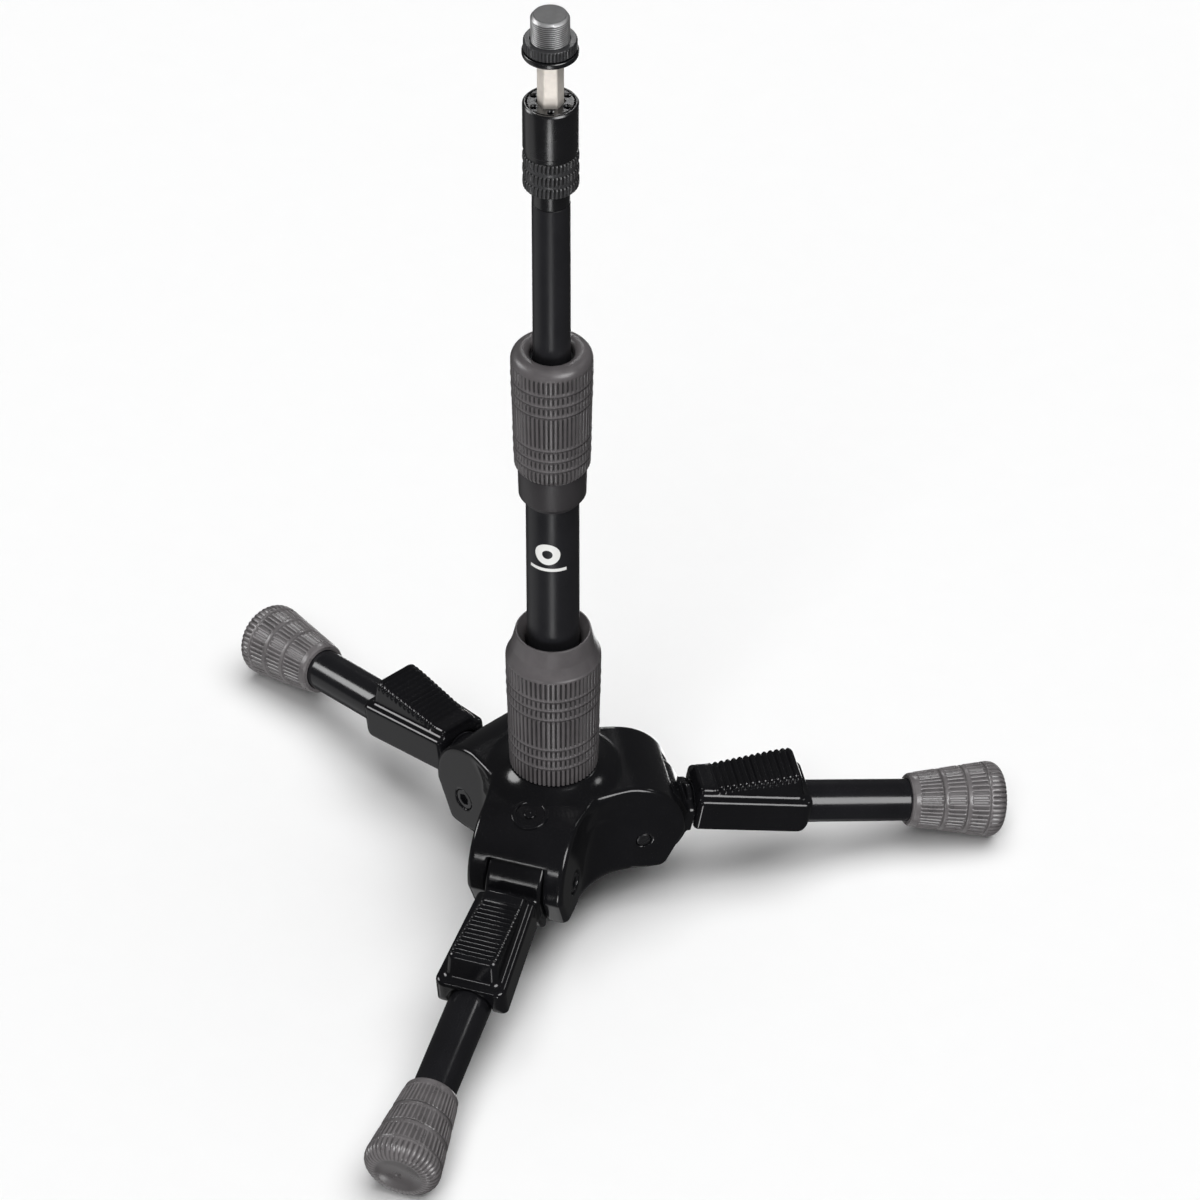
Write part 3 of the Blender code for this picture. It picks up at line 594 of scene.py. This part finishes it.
def make_roundel():
    """Plain raised ring and boss on the top of the front lobe, bent to its round profile."""
    ring = turned("roundel", soften(section(6.3, 8.3, -0.4, 0.9), 0.9), 64)
    boss = turned("boss", soften(section(0.05, 2.8, -0.4, 0.9), 0.6), 48)
    for part, name in ((ring, "roundel_ring"), (boss, "roundel_boss")):
        for vertex in part.vertices:
            across, along, height = (value / MM for value in vertex.co)
            reach = ROUNDEL_REACH + along
            turn = max(reach - LOBE_CENTRE[0], 0) / LOBE_RADIUS
            radius = LOBE_RADIUS + height
            reach = min(reach, LOBE_CENTRE[0]) + radius * math.sin(turn)
            vertex.co = Vector((across, -reach, LOBE_CENTRE[1] + radius * math.cos(turn))) * MM
        part.shade_smooth()
        part.flip_normals()
        put(name, part, COLUMN_PLACE, "hub", replaces=False)


# ---------------------------------------------------------------- legs


def leg_place(reach, height):
    """Turn (reach, height) from the crossing point and leg axis into the leg's own axes."""
    pivot_reach = PIVOT_REACH * math.cos(LEG_TILT) + PIVOT_DROP * math.sin(LEG_TILT)
    pivot_height = PIVOT_REACH * math.sin(LEG_TILT) - PIVOT_DROP * math.cos(LEG_TILT)
    return reach - pivot_reach, height - pivot_height


AXIS_START, AXIS_RISE = leg_place(0.0, 0.0)


def root_field(x, y, z):
    """Knuckle: a wide barrel round the pivot, a neck and a spigot in the tube."""
    pivot = np.hypot(x, z)
    lean = math.radians(43.5)
    forward = -(x * math.cos(lean) + z * math.sin(lean))
    barrel = meet(pivot - BARREL_RADIUS, forward, 1.5)
    barrel = np.minimum(barrel, pivot - RATCHET_BARREL_RADIUS)
    barrel = meet(barrel, np.abs(y) - KNUCKLE_HALF_WIDTH, 1.4)
    rise = z - AXIS_RISE
    neck = meet(np.abs(y) - 12.0, np.abs(rise + 0.8) - 7.0, 3.0)
    neck = meet(neck, np.maximum(x - NECK_END, NECK_START - x), 0.5)
    body = join(barrel, neck, 1.2)
    axis = np.hypot(y, rise)
    rim = meet(axis - 9.3, np.maximum(x - NECK_END, NECK_END - 2.8 - x), 0.6)
    body = join(body, rim, 0.8)
    plug = meet(axis - PLUG_RADIUS, np.maximum(x - PLUG_END, PLUG_START - x), 0.5)
    body = np.minimum(body, plug)
    in_way = np.abs(y) - PAWL_WAY_HALF_WIDTH
    body = carve(body, np.maximum(pivot - RATCHET_SLOT_RADIUS, in_way), 0.3)
    body = carve(body, pivot - BOLT_BORE_RADIUS, 0.4)
    way = np.maximum(in_way, np.maximum(np.abs(z) - PAWL_WAY_HALF_WIDTH, 13 - x))
    tail = np.maximum(in_way, np.maximum(np.abs(z - 4.45) - 2.5, 28.5 - x))
    body = np.maximum(body, -np.minimum(way, tail))
    along_pin = np.maximum(np.abs(x - PIN_PLACE[0] - 2.9) - 2.9, 0)
    pin_slot = np.hypot(along_pin, z - PIN_PLACE[1]) - 2.0
    return np.maximum(body, -pin_slot)


WEDGE_LOW = 15.2
WEDGE_HIGH = 23.8
WEDGE_RISE_START = 68.5
WEDGE_RISE_END = 107.0
LEDGE_HEIGHT = 11.5
HEEL_RADIUS = 6.5
RIB_FIRST = 70.4
RIB_PITCH = 2.75


def trigger_field(x, y, z):
    """Shell with a ledge all round a thumb wedge, whose ribs run over its side edges."""
    reach = x - AXIS_START
    height = z - AXIS_RISE
    span = (reach - TRIGGER_START) / (TRIGGER_END - TRIGGER_START)
    half_width = 13.2 + 3.0 * span
    wide = np.abs(y)
    ends = np.maximum(TRIGGER_START - reach, reach - TRIGGER_END)
    round_end = np.interp(reach, (90, 105), (2.2, 5.0))
    plan = meet(wide - half_width, ends, round_end)
    shell = meet(plan, height - LEDGE_HEIGHT, 2.2)
    past_heel = np.maximum(reach - (TRIGGER_END - HEEL_RADIUS), 0)
    corner = np.hypot(past_heel, np.maximum(1.7 - height, 0)) - HEEL_RADIUS
    shell = meet(shell, np.maximum(-4.8 - height, corner), 1.0)

    slope = (WEDGE_HIGH - WEDGE_LOW) / (WEDGE_RISE_END - WEDGE_RISE_START)
    top = WEDGE_LOW + slope * np.maximum(reach - WEDGE_RISE_START, 0)
    over = (height - top) / math.sqrt(1 + slope ** 2)
    from_crest = np.abs((reach - RIB_FIRST) / RIB_PITCH % 1.0 * 2 - 1)
    ribbed = smoothstep(RIB_FIRST - 1.2, RIB_FIRST, reach) * (1 - smoothstep(105.2, 106.4, reach))
    ripple = (1 - from_crest) ** 2 * ribbed
    wedge_side = wide - (half_width - 3.9) + 0.05 * (height - LEDGE_HEIGHT)
    wedge_side = wedge_side + 0.7 * ripple * smoothstep(-3.4, -2.2, over)
    wedge_end = np.maximum(
        TRIGGER_START + 0.9 - reach, reach - 111.0 + 0.27 * (height - LEDGE_HEIGHT))
    wedge_plan = meet(wedge_side, wedge_end, np.interp(reach, (90, 100), (1.8, 3.4)))
    wedge = meet(wedge_plan, over + ripple, np.interp(reach, (98, 109), (2.0, 3.0)))
    wedge = np.maximum(wedge, 9.0 - height)
    body = join(shell, wedge, 2.4)

    hollow = np.hypot(y, np.maximum(height, 0)) - (TUBE_RADIUS + 0.6)
    body = carve(body, hollow, 0.7)
    pin = np.maximum(np.hypot(x - PIN_PLACE[0], z - PIN_PLACE[1]) - 1.8, wide - 12.5)
    return np.maximum(body, -pin)


FOOT_BANDS = ((166.6, 176.7), (179.0, 187.3), (189.8, 197.6))
FOOT_RIBS = 42
FOOT_EDGE = 5.6
FOOT_SEAT = 197.0


def foot_relief():
    """Ribbed bands on the cone and round scallops over the dome."""
    bands = [(leg_place(low, 0)[0], leg_place(high, 0)[0]) for low, high in FOOT_BANDS]
    dome_start = leg_place(198.6, 0)[0]

    def relief(angle, along, radius):
        wave = 0.5 + 0.5 * np.cos(FOOT_RIBS * angle)
        recess = smoothstep(0.2, 0.4, wave)
        depth = np.full_like(radius, 0.15) * (1 - smoothstep(dome_start - 1.5, dome_start, along))
        for low, high in bands:
            inside = smoothstep(low, low + 0.5, along) * (1 - smoothstep(high - 0.4, high, along))
            depth += inside * (0.45 * recess - 0.15)
        scallop = np.sqrt(1 - wave)
        on_dome = smoothstep(dome_start, dome_start + 1.2, along) * smoothstep(10.2, 11.4, radius)
        depth = np.maximum(depth, 0.6 * (1 - scallop) * on_dome)
        for low, high in bands:
            depth += 0.4 * np.exp(-((along - high - 0.5) / 0.3) ** 4)
        # Points of the end dish are drawn 0.45 towards the axis, and the same value paints the dish darker:
        # painted shade.
        dish = np.where(along > dome_start, -0.45, 0.0)
        return np.where(radius > 11.0, -depth, dish)
    return relief


def foot_mesh():
    bore = TUBE_RADIUS + TUBE_GAP
    rim = [(bore, FOOT_SEAT), (bore, FOOT_START), (11.4, FOOT_START), (12.1, 164.3)]
    shoulder = [(17.0, FOOT_SHOULDER)]
    dome = arc((17.0 - FOOT_EDGE, FOOT_END - FOOT_EDGE), FOOT_EDGE, 12, 90, 14)
    dish = [(10.4, FOOT_END - 0.02), (10.1, FOOT_END - 0.35), (2.4, FOOT_END - 0.35)]
    dimple = [(2.0, FOOT_END - 0.4), (1.3, FOOT_END - 1.1), (0.02, FOOT_END - 1.3)]
    floor = [(0.02, FOOT_SEAT + 1.5), (bore - 0.5, FOOT_SEAT + 1.5)]
    outline = subdivide(rim + shoulder, 0.35) + dome + dish + dimple + floor
    outline = [(radius, leg_place(reach, 0)[0]) for radius, reach in outline]
    return raised(turned("foot", outline, FOOT_RIBS * 9, foot_relief(), axis="X", sharp=50))


def raised(mesh):
    """Move a mesh turned about X from the pivot's level up to the leg axis."""
    mesh.transform(Matrix.Translation((0, 0, AXIS_RISE * MM)))
    return mesh


def leg_tube_mesh():
    """The visible tube, with a drawn edge at each end."""
    start, end = leg_place(TUBE_START, 0)[0], leg_place(FOOT_END - 10.5, 0)[0]
    outline = soften(section(8.3, TUBE_RADIUS, start, end), 0.4)
    mesh = raised(turned("leg_tube", outline, 96, axis="X"))
    mesh.materials.append(TUBE_GLOSS)
    return mesh


SOCKET_FLATS = 5.2


def bolt_field(x, y, z):
    """Shoulder bolt along Y with a socket in its head."""
    radius = np.hypot(x, z)
    shank = meet(radius - 3.2, np.abs(y) - 21.7, 0.5)
    head = meet(radius - 4.9, np.maximum(y - 21.6, 18.8 - y), 0.45)
    socket = hexagon(x, z, SOCKET_FLATS)
    return carve(join(shank, head, 0.3), np.maximum(socket, 19.6 - y), 0.15)


def leg_bolt_mesh():
    return field_mesh("pivot_bolt", bolt_field, (-5, -22.4, -5), (5, 22.4, 5), 0.28)


def coil_mesh(name, low, high, radius, wire, turns, axis="Z"):
    """A round wire carried along a helix, its end turns closed up."""
    steps = int(turns * 40)
    rim = 10
    t = np.linspace(0, 1, steps + 1)
    angle = TAU * turns * t
    along = low + wire + (high - low - 2 * wire) * smoothstep(-0.08, 1.08, t)
    side = np.linspace(0, TAU, rim, endpoint=False)
    reach = radius + wire * np.cos(side)[None, :]
    x = np.cos(angle)[:, None] * reach
    y = np.sin(angle)[:, None] * reach
    z = along[:, None] + wire * np.sin(side)[None, :]
    points = np.stack([x, y, z] if axis == "Z" else [z, x, y], axis=-1).reshape(-1, 3)
    faces = []
    for row in range(steps):
        for column in range(rim):
            after = (column + 1) % rim
            low_row, high_row = row * rim, (row + 1) * rim
            faces.append((low_row + column, low_row + after, high_row + after, high_row + column))
    faces.append(tuple(range(rim - 1, -1, -1)))
    faces.append(tuple(steps * rim + k for k in range(rim)))
    return mesh_from(name, points, faces)


SPRING_RISE = 1.9


def make_legs():
    root = field_mesh("leg_root", root_field, (-14, -14, -24), (52, 14, 24), 0.6)
    trigger = field_mesh("trigger", trigger_field, (24, -18, -9), (80, 18, 28.5), (0.26, 0.5, 0.36))
    spring = coil_mesh("pawl_spring", 37.5, 52.6, 2.0, 0.35, 6, axis="X")
    spring.transform(Matrix.Translation((0, 0, SPRING_RISE * MM)))
    spring_ends = Vector((38.0, 0, SPRING_RISE)) * MM, Vector((52.2, 0, SPRING_RISE)) * MM
    meshes = {
        "leg_root": root, "trigger": trigger, "foot": foot_mesh(), "leg_tube": leg_tube_mesh(),
    }
    bolt = leg_bolt_mesh()
    for side in LEG_AZIMUTHS:
        for part, mesh in meshes.items():
            put(f"{side}_{part}_detail", mesh, leg_matrix(side), f"{side}_{part}")
        put(f"{side}_pivot_bolt_detail", bolt, leg_matrix(side, 0.0), f"{side}_pivot_bolt")
        put(f"{side}_pawl_spring_detail", spring, leg_matrix(side), f"{side}_pawl_spring",
            stretch=(f"{side}_trigger", f"{side}_leg", *spring_ends))


# ---------------------------------------------------------------- column


def put_turned(node, outline, columns, relief=None, sharp=60, finish=None):
    mesh = turned(node, outline, columns, relief, sharp=sharp)
    if finish:
        mesh.materials.append(finish)
    return put(f"{node}_detail", mesh, COLUMN_PLACE, node)


def grip_bands(rings, low, high):
    """Fluted bands between rings: each starts under one ring and ends on the next."""
    edges = [high + 1.0] + sorted(rings, reverse=True)
    bands = [(below + 0.2, above - 1.0) for above, below in zip(edges, edges[1:])]
    return bands + [(low, edges[-1] - 1.0)]


def make_tubes():
    for node, radius, bore, low, high in (
        ("outer_tube", OUTER_TUBE_RADIUS, 10.1, -18.7, 229.7),
        ("inner_tube", INNER_TUBE_RADIUS, 6.7, 72.0, 330.9),
    ):
        put_turned(node, soften(section(bore, radius, low, high), 0.3), 128)


def bar_faces(columns):
    """Faces of a thin strip of a number of columns, two points wide and two thick."""
    faces = []
    layer = columns * 2
    for k in range(columns - 1):
        a, b, c, d = 2 * k, 2 * k + 2, 2 * k + 3, 2 * k + 1
        faces.append((d, c, b, a))
        faces.append((a + layer, b + layer, c + layer, d + layer))
        faces.append((a, b, b + layer, a + layer))
        faces.append((c, d, d + layer, c + layer))
    last = 2 * columns - 2
    faces.append((1, 0, layer, layer + 1))
    faces.append((last, last + 1, last + 1 + layer, last + layer))
    return faces


MARK_HEIGHT = 153.0
MARK_AZIMUTH = COLUMN_TURN + 258
PRINT_DEPTH = 0.06
BAR_COLUMNS = 21


def make_tube_mark():
    """Plain ring and bar printed on the front of the outer tube, as thin pads on its skin."""
    corners = section(2.3, 5.6, 0, PRINT_DEPTH)
    ring = turned("tube_mark_ring", subdivide(corners + corners[:1], 0.5)[:-1], 64)
    bar = mesh_from("tube_mark_bar", [
        (x, y, z)
        for z in (0, PRINT_DEPTH)
        for x in np.linspace(-8.4, 8.4, BAR_COLUMNS)
        for y in (-9.2, -7.6)
    ], bar_faces(BAR_COLUMNS))
    for part in (ring, bar):
        for vertex in part.vertices:
            sideways, up, out = (value / MM for value in vertex.co)
            turn = math.radians(MARK_AZIMUTH) + sideways / OUTER_TUBE_RADIUS
            radius = OUTER_TUBE_RADIUS + 0.01 + out
            place = (radius * math.cos(turn), radius * math.sin(turn), MARK_HEIGHT + up)
            vertex.co = Vector(place) * MM
        part.materials.append(PRINT)
        put(part.name, part, COLUMN_PLACE, "outer_tube", replaces=False)


COLLAR_FLUTES = 58
CLUTCH_FLUTES = 52
RELEASE_KNURLS = 40
LOCK_KNURLS = 44
BEAD = (0.16, 0.45)


def make_collar():
    rings = (78.0, 72.6, 67.1, 49.4, 43.9, 38.2)
    outer = [(19.5, 27.9), (20.8, 87.6), (20.7, 88.5)]
    cone = [(20.3, 88.9), (18.2, 94.6), (16.5, 101.9), (16.2, 102.5), (15.7, 102.5)]
    inside = [(15.3, 101.9), (12.3, 97.2), (12.3, 84.6), (12.9, 84.6), (14.8, 60.0), (14.8, 27.9)]
    outline = subdivide(outer, 0.42) + subdivide(cone, 0.5) + subdivide(inside, 4.0)
    relief = together(
        flutes(COLLAR_FLUTES, grip_bands(rings, 27.0, 88.0), 0.7, 18.9),
        beads(rings, *BEAD, 18.9),
    )
    put_turned("base_collar", outline, COLLAR_FLUTES * 8, relief, sharp=50)


def make_clutch():
    bore = OUTER_TUBE_RADIUS + TUBE_GAP
    put_turned("clutch_ferrule", soften([
        (bore, 175.8), (11.9, 175.8), (14.4, 179.3), (14.7, 193.8), (13.3, 193.9),
        (13.3, 236.0), (8.6, 236.0), (8.6, 230.0), (bore, 230.0),
    ], 0.5), 128)
    rings = (243.1, 237.3, 231.8, 213.5, 207.8, 202.2)
    outer = [(15.2, 194.2), (16.15, 196.0), (17.3, 247.0), (17.3, 249.6)]
    shoulder = arc((12.7, 250.1), 4.6, 0, 96, 16)
    lip = arc((12.2, 251.9), 2.8, 100, 188, 8)
    inside = [(9.35, 250.4), (10.8, 250.3), (13.7, 236.0), (13.7, 194.2)]
    outline = subdivide(outer, 0.4) + shoulder + lip + subdivide(inside, 4.0)
    relief = together(
        flutes(CLUTCH_FLUTES, grip_bands(rings, 193.6, 250.6), 0.65, 14.8, end_length=1.3),
        beads(rings, *BEAD, 14.8),
    )
    put_turned("clutch_grip", outline, CLUTCH_FLUTES * 8, relief, sharp=50)


HOLE_REACH = 7.7


def plate_field(x, y, z):
    """Top plate of the coupler: a hex bore and six chamfered holes."""
    radius = np.hypot(x, y)
    body = meet(radius - 9.7, np.maximum(z - 380.4, 376.7 - z), 0.25)
    bore = hexagon(x, y, HEX_FLATS + 2 * TUBE_GAP, COLUMN_TURN + 30)
    body = carve(body, bore, 0.5)
    for k in range(6):
        turn = math.radians(COLUMN_TURN + 60 * k - 90)
        hole = np.hypot(x - HOLE_REACH * math.cos(turn), y - HOLE_REACH * math.sin(turn))
        chamfer = np.maximum(z - 379.8, 0)
        body = np.maximum(body, -(hole - 1.05 - chamfer))
    return body


def make_coupler():
    body = [
        (0.02, 316.0), (6.4, 316.0), (6.4, 331.1), (7.9, 331.2), (7.9, 356.5), (11.0, 356.5),
        (11.0, 358.5), (11.45, 358.9), (11.45, 379.6), (10.8, 380.4), (10.0, 380.4),
        (10.0, 376.4), (5.4, 376.4), (5.4, 344.9), (0.02, 344.9),
    ]
    put_turned("coupler_body", soften(body, 0.25), 128)
    plate = field_mesh("coupler_plate", plate_field, (-10.5, -10.5, 376), (10.5, 10.5, 381.2), 0.2)
    put("coupler_plate_detail", plate, COLUMN_PLACE, "coupler_plate")

    rings = [(339.5, 344.3), (345.7, 350.1), (351.9, 356.1)]
    outline = [(10.2, 339.4)]
    for low, high in rings:
        outline += [
            (10.9, low), (11.5, low + 0.7), (11.6, (low + high) / 2),
            (11.5, high - 0.7), (10.9, high),
        ]
    outline = subdivide(outline, 0.25) + [(8.2, 356.2), (8.2, 351.8), (10.2, 351.7)]
    bands = [(low - 0.3, high + 0.3) for low, high in rings]
    relief = flutes(RELEASE_KNURLS, bands, 0.7, 10.8, end_length=0.9)
    put_turned(
        "release_collar", outline, RELEASE_KNURLS * 9, relief, sharp=80, finish=KNURL_BLACK)
    spring = coil_mesh("coupler_spring", 341.5, 351.5, 9.15, 0.45, 4)
    spring_ends = Vector((0, 0, 351.1)) * MM, Vector((0, 0, 341.9)) * MM
    put("coupler_spring_detail", spring, COLUMN_PLACE, "coupler_spring",
        stretch=(NODE_BODY["release_collar"], NODE_BODY["coupler_body"], *spring_ends))


def stem_field(x, y, z):
    """Hex bar with a ball groove near its lower end and turned ends."""
    radius = np.hypot(x, y)
    bar = hexagon(x, y, HEX_FLATS, COLUMN_TURN + 30)
    body = meet(bar, np.maximum(z - 405.4, 345.4 - z), 0.3)
    body = np.maximum(body, radius - 5.4)
    return carve(body, np.maximum(4.0 - radius, np.abs(z - 354.0) - 2.0), 0.3)


def thread_relief(angle, along, radius):
    """A thread with round crests and roots."""
    depth = 0.3 - 0.3 * np.cos(TAU * (along / THREAD_PITCH - angle / TAU))
    return np.where(radius > 6.95, -depth, 0.0)


def make_adapter():
    stem = field_mesh("hex_stem", stem_field, (-6, -6, 344.6), (6, 6, 406.2), 0.3)
    put("hex_stem_detail", stem, COLUMN_PLACE, "hex_stem")
    put_turned("stem_flange", soften([
        (5.9, 401.9), (7.4, 401.7), (11.2, 403.5), (11.5, 404.2), (11.5, 405.6),
        (11.2, 406.0), (5.9, 406.0),
    ], 0.3), 128)
    side = subdivide([(STUD_RADIUS, 406.3), (STUD_RADIUS, 421.3)], 0.09)
    crown = [(6.9, 422.35), (6.5, STUD_TOP)] + subdivide([(6.4, STUD_TOP), (0.02, STUD_TOP)], 0.8)
    outline = [(0.02, 395.4), (3.5, 395.4), (3.5, 406.3)] + side + crown
    stud = put_turned("threaded_stud", outline, 128, thread_relief, sharp=70)
    # Paint the stud's flat top darker: painted shade.
    top = (BASE_HEIGHT + STUD_TOP - 0.05) * MM
    for vertex, painted_shading in zip(stud.data.vertices, stud.data.attributes["painted_shading"].data):
        if vertex.co.z > top:
            painted_shading.value = PAINTED_TOP_SHADE
    knurl = flutes(LOCK_KNURLS, [(406.2, 410.9)], 0.45, 10.2, end_length=0.6)
    ring = [(8.3, 406.5), (10.7, 406.4), (10.9, 406.8), (10.9, 410.4), (10.5, 411.0), (8.3, 411.0)]
    put_turned(
        "lock_ring", subdivide(ring, 0.25), LOCK_KNURLS * 9, knurl, sharp=80, finish=KNURL_BLACK)


# ---------------------------------------------------------------- studio


FLOOR_REACH = 4.0

# Name, azimuth, elevation and width in degrees, and power.
FILLS = (
    ("overhead", 20, 80, 60, 2.6),
    ("key", -85, 50, 24, 0.8),
    ("front_fill", -80, -15, 24, 2.4),
    ("left_fill", 200, -20, 30, 0.3),
    ("rear_fill", 95, -15, 40, 1.6),
)
STRIPS = (
    ("rear_glow", 95, -30, 20, 0.25),
    ("right_strip", -34, 34, 34, 2.0),
    ("left_strip", 186, 28, 26, 1.2),
    ("rear_strip", 41, 40, 9, 0.1),
    ("rib_glint", 106, 30, 8, 0.2),
    ("front_glint", -102, 14, 7, 0.1),
    ("front_glow", -75, -38, 13, 0.3),
    ("left_glow", 192, -36, 46, 0.17),
    ("table_glow", 190, -76, 44, 0.17),
)


def make_floor():
    mesh = bpy.data.meshes.new("floor")
    reach = FLOOR_REACH
    corners = [(-reach, -reach, 0), (reach, -reach, 0), (reach, reach, 0), (-reach, reach, 0)]
    mesh.from_pydata(corners, [], [(0, 1, 2, 3)])
    floor = bpy.data.objects.new("floor", mesh)
    bpy.context.scene.collection.objects.link(floor)
    floor.location.z = -0.0002
    mesh.materials.append(finish_material(
        "floor_paper", (0.92, 0.92, 0.92), 0.9, specular=0.1, mottle=0.003, bump=0.02))
    floor.visible_glossy = False
    floor.visible_diffuse = False
    floor.visible_shadow = False


def sun(name, azimuth, elevation, width, power, fill=False):
    """A far soft light: a fill adds light but no highlight, and a strip the reverse."""
    turn, rise = math.radians(azimuth), math.radians(elevation)
    direction = Vector((
        math.cos(rise) * math.cos(turn), math.cos(rise) * math.sin(turn), math.sin(rise),
    ))
    light = bpy.data.lights.new(name, "SUN")
    light.angle = math.radians(width)
    light.energy = power
    lamp = bpy.data.objects.new(name, light)
    bpy.context.scene.collection.objects.link(lamp)
    lamp.rotation_euler = direction.to_track_quat("Z", "Y").to_euler()
    lamp.visible_glossy = not fill
    lamp.visible_diffuse = fill


def make_studio():
    """Fills light the floor and the matt surfaces, and strips draw the highlights."""
    make_floor()
    for name, *setting in FILLS:
        sun(name, *setting, fill=True)
    for name, *setting in STRIPS:
        sun(name, *setting)
    world = bpy.data.worlds.new("studio")
    world.use_nodes = True
    world.node_tree.nodes["Background"].inputs["Color"].default_value = (1, 1, 1, 1)
    world.node_tree.nodes["Background"].inputs["Strength"].default_value = 0.06
    bpy.context.scene.world = world
    bpy.context.scene.view_settings.view_transform = "Standard"


def make_camera():
    """A long lens, level but for a slight roll, aimed a little to the right of the shaft."""
    target = Vector((19.1, 6.3, 168.7)) * MM
    azimuth, elevation = math.radians(-71.671), math.radians(40.577)
    distance = 2.4846
    direction = Vector((
        math.cos(elevation) * math.cos(azimuth),
        math.cos(elevation) * math.sin(azimuth),
        math.sin(elevation),
    ))
    data = bpy.data.cameras.new("camera")
    data.lens = 174.0
    data.sensor_width = 36.0
    data.clip_end = 20.0
    camera = bpy.data.objects.new("camera", data)
    bpy.context.scene.collection.objects.link(camera)
    roll = Matrix.Rotation(math.radians(0.11), 4, "Z")
    aim = direction.to_track_quat("Z", "Y").to_matrix().to_4x4()
    camera.matrix_world = Matrix.Translation(target + direction * distance) @ aim @ roll
    bpy.context.scene.camera = camera


make_camera()
make_studio()
dress_frame()
make_hub()
make_roundel()
make_legs()
make_tubes()
make_tube_mark()
make_collar()
make_clutch()
make_coupler()
make_adapter()
